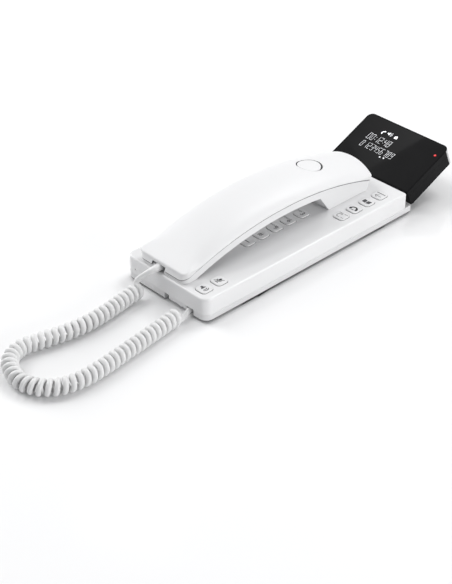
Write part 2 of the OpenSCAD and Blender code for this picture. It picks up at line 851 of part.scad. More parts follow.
// ---- curly cord: one wire, wound round its route on the desk, with a lead at each end ----
coil_z = coil_d / 2 + 0.1;
curl_r = (coil_d - wire_d) / 2;
steps = 8 * curls + 4;
last = len(route) - 1;
function way(i) = i < 0 ? 2 * route[0] - route[1] : i > last ? 2 * route[last] - route[last - 1] : route[i];
function bend(a, b, c, d, t) = (2 * b + (c - a) * t + (2 * a - 5 * b + 4 * c - d) * t * t
    + (3 * b - a - 3 * c + d) * t * t * t) / 2;
axis = concat([for (i = [0:last - 1]) for (k = [0:7]) bend(way(i - 1), way(i), way(i + 1), way(i + 2), k / 8)],
    [route[last]]);
run = [for (i = 0, s = 0; i < len(axis);
    s = s + (i < len(axis) - 1 ? norm(axis[i + 1] - axis[i]) : 0), i = i + 1) s];
coil_l = run[len(run) - 1];
run_x = [for (i = [0:len(run) - 1]) [run[i], axis[i][0]]];
run_y = [for (i = [0:len(run) - 1]) [run[i], axis[i][1]]];
function on_axis(s) = [lookup(s, run_x), lookup(s, run_y)];
function unit(v) = v / norm(v);
function heading(s) = unit(on_axis(min(s + 1.5, coil_l)) - on_axis(max(s - 1.5, 0)));
function curl(i) = let(s = coil_l * i / steps, a = 45 * i, c = on_axis(s), t = heading(s))
    [c[0] - curl_r * sin(a) * t[1], c[1] + curl_r * sin(a) * t[0], coil_z + curl_r * cos(a)];
wound = [for (i = [0:steps]) curl(i)];
function ease(a, u, b, v, t) = a * (2 * t * t * t - 3 * t * t + 1) + u * (t * t * t - 2 * t * t + t)
    + b * (3 * t * t - 2 * t * t * t) + v * (t * t * t - t * t);
hand_exit = [hand_plug_x, hand_plug_y, hand_plug_z];
base_exit = [base_plug_x, base_plug_y, base_plug_z];
hand_bend = hand_exit - [0, wire_d, 0];
base_bend = base_exit - [0, wire_d, 0];
lead_in = [for (i = [0:13]) ease(hand_bend, [0, -17, 0], wound[0], unit(curl(0.2) - curl(0)) * 20, i / 14)];
lead_out = [for (i = [1:10]) ease(wound[steps], unit(curl(steps) - curl(steps - 0.2)) * 9,
    base_bend, [0, 9, 0], i / 10)];
cord_line = concat([hand_exit, hand_exit - [0, wire_d / 2, 0]], lead_in, wound, lead_out,
    [base_exit - [0, wire_d / 2, 0], base_exit]);
cord_n = len(cord_line);
cord_way = [for (i = [0:cord_n - 1]) i < 2 ? [0, -1, 0] : i > cord_n - 3 ? [0, 1, 0]
    : unit(cord_line[i + 1] - cord_line[i - 1])];
function turned(v, t) = unit(v - (v * t) * t);
cord_side = [for (i = 0, v = [1, 0, 0]; i < cord_n;
    v = i < cord_n - 1 ? turned(v, cord_way[i + 1]) : v, i = i + 1) v];
least_gap = min([for (i = [0:cord_n - 6]) min([for (j = [i + 5:cord_n - 1])
    norm(cord_line[i] - cord_line[j])])]) - wire_d;
echo(coil_length = coil_l, least_gap = least_gap);

module curly_cord() {
    sides = 6;
    rings = [for (i = [0:cord_n - 1]) for (k = [0:sides - 1])
        cord_line[i] + wire_d / 2 * (cos(60 * k) * cord_side[i] + sin(60 * k) * cross(cord_way[i], cord_side[i]))];
    skin = [for (i = [0:cord_n - 2]) for (k = [0:sides - 1])
        let(a = i * sides + k, b = i * sides + (k + 1) % sides)
            for (f = [[a, a + sides, b], [b, a + sides, b + sides]]) f];
    e = (cord_n - 1) * sides;
    caps = [for (k = [1:sides - 2]) for (f = [[0, k, k + 1], [e, e + k + 1, e + k]]) f];
    color("whitesmoke") place() polyhedron(points = rings, faces = concat(skin, caps));
}

top_housing();
bottom_housing();
main_board();
number_mat();
function_mat();
audio_mat();
foot(-1, foot_y[0]);  // foot_near_left
foot(1, foot_y[0]);  // foot_near_right
foot(-1, foot_y[1]);  // foot_far_left
foot(1, foot_y[1]);  // foot_far_right
cover_screw(-1, screw_y[0]);  // screw_near_left
cover_screw(1, screw_y[0]);  // screw_near_right
cover_screw(-1, screw_y[1]);  // screw_far_left
cover_screw(1, screw_y[1]);  // screw_far_right
loudspeaker();
base_mic();
base_jack();
line_jack();
hook_spring();
hook_plunger();
number_key(-1, 4);  // key_1
number_key(0, 4);  // key_2
number_key(1, 4);  // key_3
number_key(-1, 3);  // key_4
number_key(0, 3);  // key_5
number_key(1, 3);  // key_6
number_key(-1, 2);  // key_7
number_key(0, 2);  // key_8
number_key(1, 2);  // key_9
number_key(-1, 1);  // key_star
number_key(0, 1);  // key_0
number_key(1, 1);  // key_hash
number_key(-1, 0);  // key_flash
number_key(0, 0);  // key_redial
number_key(1, 0);  // key_volume
side_key(function_y);  // key_menu
side_key(function_y + row_pitch);  // key_call
side_key(function_y + 2 * row_pitch);  // key_book
side_key(function_y + 3 * row_pitch);  // key_back
side_key(audio_y);  // key_speaker
side_key(audio_y + row_pitch);  // key_mute
display_frame();
display_lens();
display_back();
lcd_panel();
display_board();
message_lamp();
hinge_pin(-1);  // hinge_pin_left
hinge_pin(1);  // hinge_pin_right
handset_back();
handset_front();
handset_cap();
receiver();
receiver_grille();
transmitter();
handset_socket();
handset_weight();
handset_plug();
base_plug();
curly_cord();
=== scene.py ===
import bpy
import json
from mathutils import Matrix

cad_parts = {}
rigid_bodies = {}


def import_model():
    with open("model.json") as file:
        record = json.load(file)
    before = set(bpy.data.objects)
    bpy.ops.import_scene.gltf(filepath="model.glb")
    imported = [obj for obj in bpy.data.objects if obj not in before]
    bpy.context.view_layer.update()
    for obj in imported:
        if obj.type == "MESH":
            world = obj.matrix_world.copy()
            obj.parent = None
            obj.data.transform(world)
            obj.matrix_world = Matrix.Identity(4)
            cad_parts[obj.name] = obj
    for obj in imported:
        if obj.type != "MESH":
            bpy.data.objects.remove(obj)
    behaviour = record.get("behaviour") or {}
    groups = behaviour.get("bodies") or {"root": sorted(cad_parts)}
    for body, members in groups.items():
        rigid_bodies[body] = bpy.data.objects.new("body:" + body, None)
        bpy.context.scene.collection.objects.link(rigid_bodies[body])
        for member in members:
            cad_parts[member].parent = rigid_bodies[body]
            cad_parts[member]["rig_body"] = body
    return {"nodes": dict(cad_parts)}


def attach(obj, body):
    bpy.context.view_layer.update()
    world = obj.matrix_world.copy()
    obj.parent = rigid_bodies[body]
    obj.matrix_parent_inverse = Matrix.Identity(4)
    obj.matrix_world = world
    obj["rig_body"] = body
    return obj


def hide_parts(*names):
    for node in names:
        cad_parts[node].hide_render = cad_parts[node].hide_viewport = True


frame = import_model()

"""Looks of a slim corded telephone with a folding display: finishes, moulded skins, printed
marks, the curly cord, a pale floor, soft light and the camera. Metres, in the part's frame."""

import functools
import json
import logging
import math
from dataclasses import dataclass, field
from enum import Enum
from typing import Callable, Optional, Sequence

import bmesh
import bpy
from mathutils import Euler, Matrix, Vector

logging.basicConfig(level=logging.INFO, format="%(message)s")
log = logging.getLogger("telephone")

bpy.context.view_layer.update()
MM = 0.001
# From the base's near wall to the middle of the part, in millimetres.
SHIFT_Y = -126.502
# Points closer than this, in metres, are one point.
MERGE = 2e-6
# Rounds in which a height and a lean that depend on each other are settled.
ROUNDS = 6
ACROSS = Vector((1.0, 0.0, 0.0))
ALONG = Vector((0.0, 1.0, 0.0))
Point = tuple[float, float, float]
Flat = tuple[float, float]
Row = list[bmesh.types.BMVert]


def part(x: float, y: float, z: float) -> Vector:
    """Turn millimetres across, from the base's near wall and above the desk into metres here."""
    return Vector((x * MM, (y + SHIFT_Y) * MM, z * MM))


def smooth(t: float) -> float:
    """Ease from 0 to 1, with a gentle start and end."""
    t = min(max(t, 0.0), 1.0)
    return t * t * (3 - 2 * t)


def grown(y: float, span: Flat) -> float:
    """Ease from 0 to 1 along a span: where it starts, and its length."""
    return smooth((y - span[0]) / span[1])


def around(steps: int) -> list[float]:
    """List the angles of a full turn in equal steps."""
    return [2 * math.pi * k / steps for k in range(steps)]


def stitch(bm: bmesh.types.BMesh, rows: Sequence[Row], inward: bool = False) -> None:
    """Join closed rows of points, each to the next, with quads.

    Args:
        bm: The mesh.
        rows: The rows, all as long.
        inward: Whether the quads face the other way.
    """
    for low, high in zip(rows, rows[1:]):
        for k in range(len(low)):
            j = (k + 1) % len(low)
            bm.faces.new((low[j], low[k], high[k], high[j]) if inward
                         else (low[k], low[j], high[j], high[k]))


def in_scene(name: str, data: bpy.types.ID) -> bpy.types.Object:
    """Make an object and put it in the scene.

    Args:
        name: Its name.
        data: Its mesh, curve, light or camera.

    Returns:
        The object.
    """
    obj = bpy.data.objects.new(name, data)
    bpy.context.scene.collection.objects.link(obj)
    return obj


def add_node(tree: bpy.types.NodeTree, kind: str,
             **values: float | tuple[float, ...]) -> bpy.types.Node:
    """Add a shader node.

    Args:
        tree: Where it goes.
        kind: Its type, without the prefix.
        values: What its sockets are set to, with _ for a space in their names.

    Returns:
        The node.
    """
    made = tree.nodes.new("ShaderNode" + kind)
    for name, value in values.items():
        made.inputs[name.replace("_", " ")].default_value = value
    return made


class Kind(Enum):
    """What a surface is made of, which decides how broadly its colour clouds."""

    MOULDED = "moulded"
    GLOSS = "gloss"
    RUBBER = "rubber"
    METAL = "metal"
    CLEAR = "clear"
    LIT = "lit"


@dataclass(frozen=True)
class Finish:
    """One procedural finish.

    Args:
        name: Name of the material.
        slot: The record's material slot; not used.
        kind: What it is made of.
        colour: Main colour, linear.
        shade: The tone that clouds it.
        rough: Middle roughness.
        spread: How far the roughness wanders.
        grain: Scale of the fine grain, per metre.
        relief: Strength of the grain's bump.
        coat: Weight of the clear coat.
        metal: Metallic share.
        clear: Transmission share.
        glow: Emission strength.
        edge: Radius that the shading rounds hard edges by, in metres.
        specular: Specular level.
    """

    name: str
    slot: str
    kind: Kind
    colour: Point
    shade: Point
    rough: float = 0.35
    spread: float = 0.04
    grain: float = 1400.0
    relief: float = 0.03
    coat: float = 0.0
    metal: float = 0.0
    clear: float = 0.0
    glow: float = 0.0
    edge: float = 0.0003
    specular: float = 0.5


class Finishes:
    """Every finish of the telephone."""

    COVER = Finish("cover_white", "cover_white", Kind.MOULDED, (0.755, 0.755, 0.76),
                   (0.745, 0.745, 0.75), rough=0.26, spread=0.001, coat=0.3, grain=700.0,
                   relief=0.001, edge=0.0)
    HAND = Finish("handset_white", "handset_white", Kind.MOULDED, (0.765, 0.765, 0.77),
                  (0.755, 0.755, 0.76), rough=0.45, spread=0.02, grain=700.0, relief=0.003,
                  edge=0.0)
    KEY = Finish("key_white", "key_white", Kind.MOULDED, (0.74, 0.74, 0.745),
                 (0.72, 0.72, 0.725), rough=0.36, spread=0.02, relief=0.003, edge=0.0)
    # The cover's white made darker for the lower tray: painted shade standing in for the shade on
    # that strip.
    SHADED_TRAY = Finish("tray_white_painted_shade", "cover_white", Kind.MOULDED, (0.68, 0.68, 0.685),
                  (0.67, 0.67, 0.675), rough=0.3, spread=0.015, coat=0.2, grain=700.0,
                  relief=0.003, edge=0.0)
    # Near-black paint for the tray's foot: a painted shadow that stands in for the contact shadow
    # under the base.
    PAINTED_FOOT_SHADOW = Finish("painted_foot_shadow", "cover_white", Kind.RUBBER, (0.07, 0.07, 0.072),
                  (0.09, 0.09, 0.092), rough=0.7, edge=0.0)
    RUBBER = Finish("grey_rubber", "grey_rubber", Kind.RUBBER, (0.16, 0.16, 0.165),
                    (0.11, 0.11, 0.115), rough=0.75, grain=2600.0, relief=0.12)
    # Near-black paint for the keys' lower sides: painted shade in the gap round each key.
    PAINTED_GAP_SHADE = Finish("key_gap_painted_shade", "key_white", Kind.RUBBER, (0.045, 0.045, 0.048),
                   (0.06, 0.06, 0.064), rough=0.7, relief=0.01, edge=0.0)
    # Dark grey for the handset's seam strip and its cut recesses: painted shade where the gaps are.
    PAINTED_SEAM_SHADE = Finish("seam_painted_shade", "handset_white", Kind.MOULDED, (0.20, 0.20, 0.205),
                   (0.25, 0.25, 0.255), rough=0.5, relief=0.01, edge=0.0)
    ZINC = Finish("zinc_steel", "zinc_steel", Kind.METAL, (0.56, 0.57, 0.58),
                  (0.42, 0.43, 0.45), rough=0.3, metal=1.0, grain=900.0, relief=0.05)
    BOARD = Finish("circuit_board", "circuit_board", Kind.MOULDED, (0.02, 0.13, 0.06),
                   (0.015, 0.09, 0.045), rough=0.42, coat=0.4, relief=0.08)
    BLACK = Finish("display_black", "display_black", Kind.MOULDED, (0.006, 0.006, 0.0065),
                   (0.009, 0.009, 0.0095), rough=0.12, relief=0.002, edge=0.0, specular=0.05)
    # Grey base colour on black plastic with a full coat: a real higher gloss plus a painted
    # highlight on the display's far right corner.
    GLOSS_AND_PAINTED_HIGHLIGHT = Finish("display_corner_gloss_painted_highlight", "display_black", Kind.GLOSS, (0.34, 0.34, 0.345),
                    (0.26, 0.26, 0.265), rough=0.12, coat=1.0, relief=0.0, edge=0.0,
                    specular=1.0)
    LENS = Finish("display_lens", "display_lens", Kind.GLOSS, (0.006, 0.006, 0.0065),
                  (0.008, 0.008, 0.0085), rough=0.035, spread=0.01, relief=0.0, edge=0.0,
                  specular=0.1)
    LCD = Finish("lcd_grey", "lcd_grey", Kind.GLOSS, (0.05, 0.055, 0.06),
                 (0.035, 0.04, 0.045), rough=0.2)
    LAMP = Finish("lamp_red", "lamp_red", Kind.LIT, (0.55, 0.02, 0.02), (0.40, 0.012, 0.012),
                  rough=0.2, glow=0.8)
    GRILLE = Finish("silver_grille", "silver_grille", Kind.METAL, (0.62, 0.63, 0.64),
                    (0.50, 0.51, 0.52), rough=0.32, metal=1.0, relief=0.06)
    CAPSULE = Finish("capsule_grey", "capsule_grey", Kind.RUBBER, (0.20, 0.21, 0.22),
                     (0.15, 0.155, 0.16), rough=0.5)
    SOCKET = Finish("socket_grey", "socket_grey", Kind.MOULDED, (0.30, 0.30, 0.305),
                    (0.24, 0.24, 0.245), rough=0.45)
    WEIGHT = Finish("weight_steel", "weight_steel", Kind.METAL, (0.35, 0.36, 0.37),
                    (0.27, 0.28, 0.29), rough=0.45, metal=1.0, relief=0.1)
    PLUG = Finish("plug_clear", "plug_clear", Kind.CLEAR, (0.86, 0.87, 0.88),
                  (0.80, 0.81, 0.82), rough=0.14, clear=0.35, relief=0.01)
    CORD = Finish("cord_white", "cord_white", Kind.MOULDED, (0.74, 0.74, 0.74),
                  (0.71, 0.71, 0.71), rough=0.42, coat=0.08, relief=0.01, edge=0.0)
    INK = Finish("key_print", "key_white", Kind.MOULDED, (0.035, 0.035, 0.038),
                 (0.05, 0.05, 0.055), rough=0.5, edge=0.0)
    GLYPH = Finish("display_glyph", "lcd_grey", Kind.LIT, (0.75, 0.76, 0.78),
                   (0.68, 0.69, 0.71), rough=0.3, glow=1.0, edge=0.0)
    FLOOR = Finish("pale_floor", "", Kind.MOULDED, (0.90, 0.90, 0.903),
                   (0.895, 0.895, 0.898), rough=0.12, spread=0.03, grain=60.0, relief=0.0,
                   edge=0.0, specular=0.4)


@functools.cache
def material(finish: Finish) -> bpy.types.Material:
    """Build a finish once: clouded colour, wandering roughness, fine grain, rounded edges.

    Args:
        finish: The finish to build.

    Returns:
        Its material.
    """
    made = bpy.data.materials.new(finish.name)
    made.use_nodes = True
    tree = made.node_tree
    link = tree.links.new
    shader = tree.nodes["Principled BSDF"]
    place = add_node(tree, "TexCoord")
    grains_per_cloud = 12.0 if finish.kind is Kind.METAL else 40.0
    grains_per_wander = 9.0

    def noise(scale: float, detail: float, distortion: float = 0.0) -> bpy.types.NodeSocket:
        """Lay a noise over the object.

        Args:
            scale: Its scale, per metre.
            detail: Its octaves.
            distortion: How far it is swirled.

        Returns:
            Its strength.
        """
        spots = add_node(tree, "TexNoise", Scale=scale, Detail=detail, Distortion=distortion)
        link(place.outputs["Object"], spots.inputs["Vector"])
        return spots.outputs["Fac"]

    ramp = add_node(tree, "ValToRGB")
    ends = ramp.color_ramp.elements
    ends[0].position, ends[0].color = 0.35, (*finish.shade, 1.0)
    ends[1].position, ends[1].color = 0.65, (*finish.colour, 1.0)
    link(noise(finish.grain / grains_per_cloud, 3.0, 0.4), ramp.inputs["Fac"])
    link(ramp.outputs["Color"], shader.inputs["Base Color"])
    span = add_node(tree, "MapRange", From_Min=0.3, From_Max=0.7,
                    To_Min=max(finish.rough - finish.spread, 0.02),
                    To_Max=min(finish.rough + finish.spread, 1.0))
    link(noise(finish.grain / grains_per_wander, 2.0), span.inputs["Value"])
    link(span.outputs["Result"], shader.inputs["Roughness"])

    normal = None
    if finish.edge > 0.0:
        rounded = add_node(tree, "Bevel", Radius=finish.edge)
        rounded.samples = 4
        normal = rounded.outputs["Normal"]
    if finish.relief > 0.0:
        bump = add_node(tree, "Bump", Strength=finish.relief, Distance=0.00005)
        link(noise(finish.grain, 2.0), bump.inputs["Height"])
        if normal is not None:
            link(normal, bump.inputs["Normal"])
        normal = bump.outputs["Normal"]
    if normal is not None:
        link(normal, shader.inputs["Normal"])

    for socket, value in (("Metallic", finish.metal), ("Coat Weight", finish.coat),
                          ("Coat Roughness", 0.08), ("Transmission Weight", finish.clear),
                          ("Specular IOR Level", finish.specular)):
        shader.inputs[socket].default_value = value
    if finish.glow > 0.0:
        link(ramp.outputs["Color"], shader.inputs["Emission Color"])
        shader.inputs["Emission Strength"].default_value = finish.glow
    log.info("finish %s", finish.name)
    return made


def paint(obj: bpy.types.Object, finish: Finish) -> None:
    """Give an object one finish.

    Args:
        obj: A mesh or curve.
        finish: Its finish.
    """
    if not obj.material_slots:
        obj.data.materials.append(material(finish))
    for slot in obj.material_slots:
        slot.link = "OBJECT"
        slot.material = material(finish)


def seat(obj: bpy.types.Object, body: str, finish: Finish, *nodes: str) -> bpy.types.Object:
    """Make a piece ride on a body, and let it stand for CAD nodes.

    Args:
        obj: The piece.
        body: The body.
        finish: Not used.
        nodes: The CAD nodes that it stands for.

    Returns:
        The piece.
    """
    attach(obj, body)
    if nodes:
        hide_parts(*nodes)
    return obj


def flat_object(name: str, bm: bmesh.types.BMesh, finish: Finish) -> bpy.types.Object:
    """Turn a bmesh into an object as it is.

    Args:
        name: Name of the object.
        bm: The mesh, freed here.
        finish: Its finish.

    Returns:
        The new object, in the scene.
    """
    data = bpy.data.meshes.new(name)
    bm.to_mesh(data)
    bm.free()
    obj = in_scene(name, data)
    paint(obj, finish)
    log.info("made %s: %d faces", name, len(data.polygons))
    return obj


def mesh_object(name: str, bm: bmesh.types.BMesh, finish: Finish,
                crease: float = 40.0) -> bpy.types.Object:
    """Turn a bmesh into an object with smooth faces and its normals outwards.

    Args:
        name: Name of the object.
        bm: The mesh, freed here.
        finish: Its finish.
        crease: Angle in degrees up to which edges are smooth.

    Returns:
        The new object, in the scene.
    """
    bmesh.ops.recalc_face_normals(bm, faces=bm.faces)
    obj = flat_object(name, bm, finish)
    obj.data.polygons.foreach_set("use_smooth", [True] * len(obj.data.polygons))
    obj.data.set_sharp_from_angle(angle=math.radians(crease))
    return obj


def settle(obj: bpy.types.Object) -> None:
    """Apply every modifier of an object.

    Args:
        obj: The object.
    """
    graph = bpy.context.evaluated_depsgraph_get()
    data = bpy.data.meshes.new_from_object(obj.evaluated_get(graph))
    obj.modifiers.clear()
    obj.data = data


def cut_away(obj: bpy.types.Object, tools: Sequence[bpy.types.Object],
             cuts_take_tool_finish: bool = False) -> None:
    """Cut tools out of an object, and take the tools out of the scene.

    Args:
        obj: The object.
        tools: What is cut out of it.
        cuts_take_tool_finish: Whether the cut faces take the tools' finish.
    """
    for tool in tools:
        cut = obj.modifiers.new("cut", "BOOLEAN")
        cut.operation = "DIFFERENCE"
        cut.solver = "EXACT"
        if cuts_take_tool_finish:
            cut.material_mode = "TRANSFER"
        cut.object = tool
    settle(obj)
    for tool in tools:
        bpy.data.objects.remove(tool)


@dataclass(frozen=True)
class Foot:
    """The wider rounding along the lowest outer edge of a cover, in metres.

    Args:
        width: Its width.
        depth: How far inside the walls it may lie.
        rim: How far from the walls' planes its straight runs may lie.
        corner: How far in its round corners reach.
        short: Longest step round such a corner.
        level: How far above the lowest point it may lie.
    """

    width: float = 0.0015
    depth: float = 0.007
    rim: float = 3e-4
    corner: float = 0.0065
    short: float = 0.002
    level: float = 1e-5

    def weigh(self, bm: bmesh.types.BMesh, rest: float, angle: float) -> None:
        """Weigh a cover's sharp edges: the whole width at the foot, a share of it elsewhere.

        Args:
            bm: The cover.
            rest: Width of the rounding elsewhere.
            angle: Edges sharper than this are rounded, in radians.
        """
        low = min(v.co.z for v in bm.verts)
        side = max(abs(v.co.x) for v in bm.verts)
        near, far = min(v.co.y for v in bm.verts), max(v.co.y for v in bm.verts)
        weight = bm.edges.layers.float.new("bevel_weight_edge")
        for edge in bm.edges:
            if len(edge.link_faces) != 2 or edge.calc_face_angle(0.0) <= angle:
                continue
            middle = (edge.verts[0].co + edge.verts[1].co) / 2
            inward = side - abs(middle.x)
            lowest = max(v.co.z for v in edge.verts) < low + self.level
            outer = lowest and (inward < self.depth or middle.y < near + self.depth)
            turning = abs(inward) < self.corner and edge.calc_length() < self.short
            straight = inward < self.rim or min(middle.y - near, far - middle.y) < self.rim
            edge[weight] = 1.0 if outer and (straight or turning) else rest / self.width


def soften(node: str, finish: Finish, width: float, foot: Optional[Foot] = None,
           angle: float = 35.0) -> bpy.types.Object:
    """Copy a CAD node with its hard edges rounded, and let the copy stand for it.

    Args:
        node: Name of the CAD node.
        finish: Finish of the copy.
        width: Width of the rounding in metres.
        foot: The rounding of its lowest outer edge, if it has its own.
        angle: Edges sharper than this many degrees are rounded.

    Returns:
        The rounded copy, riding on the node's body.
    """
    source = frame["nodes"][node]
    bm = bmesh.new()
    bm.from_mesh(source.data)
    bmesh.ops.remove_doubles(bm, verts=bm.verts, dist=MERGE)
    bmesh.ops.dissolve_limit(bm, angle_limit=math.radians(0.6), verts=bm.verts, edges=bm.edges)
    if foot:
        foot.weigh(bm, width, math.radians(angle))
    obj = mesh_object(f"{node}_skin", bm, finish, 30.0)
    bevel = obj.modifiers.new("edges", "BEVEL")
    bevel.width = foot.width if foot else width
    bevel.segments = 3
    bevel.limit_method = "WEIGHT" if foot else "ANGLE"
    bevel.angle_limit = math.radians(angle)
    bevel.use_clamp_overlap = not foot
    bevel.harden_normals = True
    settle(obj)
    return seat(obj, source["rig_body"], finish, node)


@dataclass(frozen=True)
class Camera:
    """The camera.

    Args:
        place: Where it stands, in metres.
        turn: How it is turned, in degrees.
        lens: Focal length in millimetres.
        sensor: Width of its sensor in millimetres.
        nearest: From how near it sees, in metres.
        furthest: How far it sees, in metres.
    """

    place: Point = (0.6289, -0.6696, 0.5771)
    turn: Point = (55.52, 0.0, 46.371)
    lens: float = 92.466
    sensor: float = 36.0
    nearest: float = 0.01
    furthest: float = 50.0

    def build(self) -> None:
        """Make the camera the scene's own."""
        data = bpy.data.cameras.new("camera")
        data.lens = self.lens
        data.sensor_width = self.sensor
        data.sensor_fit = "AUTO"
        data.clip_start = self.nearest
        data.clip_end = self.furthest
        obj = in_scene("camera", data)
        obj.location = self.place
        obj.rotation_euler = Euler([math.radians(a) for a in self.turn])
        bpy.context.scene.camera = obj
        log.info("camera")


@dataclass
class CurlyCord:
    """The curly cord: one wire wound round a route on the desk, with a straight lead at each end.

    All in millimetres, from the base's near wall.

    Args:
        wire: Diameter of the wire.
        curls: Number of curls.
        per_turn: Points in one curl.
        coil: Outer diameter of the coil.
        coil_z: Height of the coil's middle.
        straight: Length that stays straight at each exit.
        hand_exit: Where the wire leaves the handset.
        base_exit: Where it goes into the base.
        hand_lead: Pull at the handset and at the coil, and steps between them.
        base_lead: Pull at the coil and at the base, and steps between them.
        route: The coil's middle on the desk.
        axis: The route as a smooth line.
        run: Length up to each point of that line.
    """

    wire: float = 3.8
    curls: int = 54
    per_turn: int = 16
    coil: float = 12.0
    coil_z: float = 6.1
    straight: float = 3.6
    hand_exit: Point = (-8.5, 3.3, 22.2)
    base_exit: Point = (23.7, 4.0, 4.1)
    hand_lead: tuple[float, float, int] = (17.0, 20.0, 28)
    base_lead: tuple[float, float, int] = (9.0, 9.0, 20)
    route: tuple[Flat, ...] = (
        (-15.5, -11), (-13, -27), (-10.5, -43), (-9.5, -59), (-11, -75), (-14.5, -91),
        (-17.5, -104), (-16, -114), (-10, -122), (0, -127), (11, -128.5), (22, -124.5),
        (30, -116), (34, -104), (34.5, -90), (33, -74), (31, -58), (29, -42), (27, -26),
        (25, -11.5))
    axis: list[Vector] = field(default_factory=list)
    run: list[float] = field(default_factory=list)

    def __post_init__(self) -> None:
        """Lay the axis of the coil through the route."""
        steps = 8
        pts = [Vector(p) for p in self.route]
        pts = [2 * pts[0] - pts[1], *pts, 2 * pts[-1] - pts[-2]]
        for i in range(1, len(pts) - 2):
            a, b, c, d = pts[i - 1:i + 3]
            for t in (k / steps for k in range(steps)):
                self.axis.append((2 * b + (c - a) * t + (2 * a - 5 * b + 4 * c - d) * t * t
                                  + (3 * b - a - 3 * c + d) * t ** 3) / 2)
        self.axis.append(pts[-2])
        total = 0.0
        for i, p in enumerate(self.axis):
            total += (p - self.axis[i - 1]).length if i else 0.0
            self.run.append(total)

    def on_axis(self, s: float) -> Vector:
        """Find the axis point at a length.

        Args:
            s: Length along the axis.

        Returns:
            The point, in the plane of the desk.
        """
        s = min(max(s, 0.0), self.run[-1])
        for i in range(1, len(self.run)):
            if s <= self.run[i]:
                t = (s - self.run[i - 1]) / (self.run[i] - self.run[i - 1])
                return self.axis[i - 1].lerp(self.axis[i], t)
        return self.axis[-1]

    def curl(self, turns: float) -> Vector:
        """Find the wire's middle after some turns.

        Args:
            turns: Turns from the start of the coil.

        Returns:
            The point.
        """
        reach = 1.5
        s = self.run[-1] * turns / (self.curls + 0.5)
        a = 2 * math.pi * turns
        c = self.on_axis(s)
        t = (self.on_axis(s + reach) - self.on_axis(s - reach)).normalized()
        r = (self.coil - self.wire) / 2
        return Vector((c.x - r * math.sin(a) * t.y, c.y + r * math.sin(a) * t.x,
                       self.coil_z + r * math.cos(a)))

    @staticmethod
    def ease(a: Vector, u: Vector, b: Vector, v: Vector, t: float) -> Vector:
        """Find a point between a and b, which are left and met with the pulls u and v."""
        return (a * (2 * t ** 3 - 3 * t * t + 1) + u * (t ** 3 - 2 * t * t + t)
                + b * (3 * t * t - 2 * t ** 3) + v * (t ** 3 - t * t))

    def line(self) -> list[Vector]:
        """Lay the whole wire.

        Returns:
            The points of its middle, in the part's frame, in metres.
        """
        whole, nudge = self.curls + 0.5, 0.025
        start, stop = Vector(self.hand_exit), Vector(self.base_exit)
        back = ALONG * self.straight
        n = int(self.per_turn * whole)
        wound = [self.curl(whole * i / n) for i in range(n + 1)]
        first = (self.curl(nudge) - self.curl(0)).normalized()
        final = (self.curl(whole) - self.curl(whole - nudge)).normalized()
        leave, meet, steps = self.hand_lead
        lead_in = [self.ease(start - back, ALONG * -leave, wound[0], first * meet, i / steps)
                   for i in range(steps)]
        leave, meet, steps = self.base_lead
        lead_out = [self.ease(wound[-1], final * leave, stop - back, ALONG * meet, i / steps)
                    for i in range(1, steps + 1)]
        pts = [start, start - back / 2, *lead_in, *wound, *lead_out, stop - back / 2, stop]
        return [part(*p) for p in pts]

    def build(self) -> None:
        pts = self.line()
        data = bpy.data.curves.new("curly_wire", "CURVE")
        data.dimensions = "3D"
        data.bevel_depth = self.wire / 2 * MM
        data.bevel_resolution = 4
        data.use_fill_caps = True
        spline = data.splines.new("POLY")
        spline.points.add(len(pts) - 1)
        for point, p in zip(spline.points, pts):
            point.co = (*p, 1.0)
        spline.use_smooth = True
        obj = in_scene("curly_wire", data)
        paint(obj, Finishes.CORD)
        seat(obj, "base", Finishes.CORD, "curly_cord")
        boot = self.boot(pts[:12])

    def boot(self, pts: Sequence[Vector], sides: int = 20, proud: float = 0.75,
             clear: float = 0.05) -> bpy.types.Object:
        """Make the short tapered sleeve where the cord leaves the handset.

        Args:
            pts: The wire's first points.
            sides: Sides of the sleeve.
            proud: How far it stands out from the wire at its wide end.
            clear: How far it stands out at its thin end.

        Returns:
            The sleeve, riding on the base with the cord.
        """
        wide, high = 1.1, 0.95
        bm = bmesh.new()
        rings = []
        for i, p in enumerate(pts):
            ahead = (pts[min(i + 1, len(pts) - 1)] - pts[max(i - 1, 0)]).normalized()
            side = ahead.cross(Vector((0, 0, 1))).normalized()
            up = side.cross(ahead)
            r = (self.wire / 2 + proud * (1 - i / (len(pts) - 1)) + clear) * MM
            rings.append([
                bm.verts.new(p + (side * math.cos(a) * wide + up * math.sin(a) * high) * r)
                for a in around(sides)])
        stitch(bm, rings)
        bm.faces.new(rings[0])
        bm.faces.new(rings[-1])
        return seat(mesh_object("cord_boot", bm, Finishes.CORD), "base", Finishes.CORD)


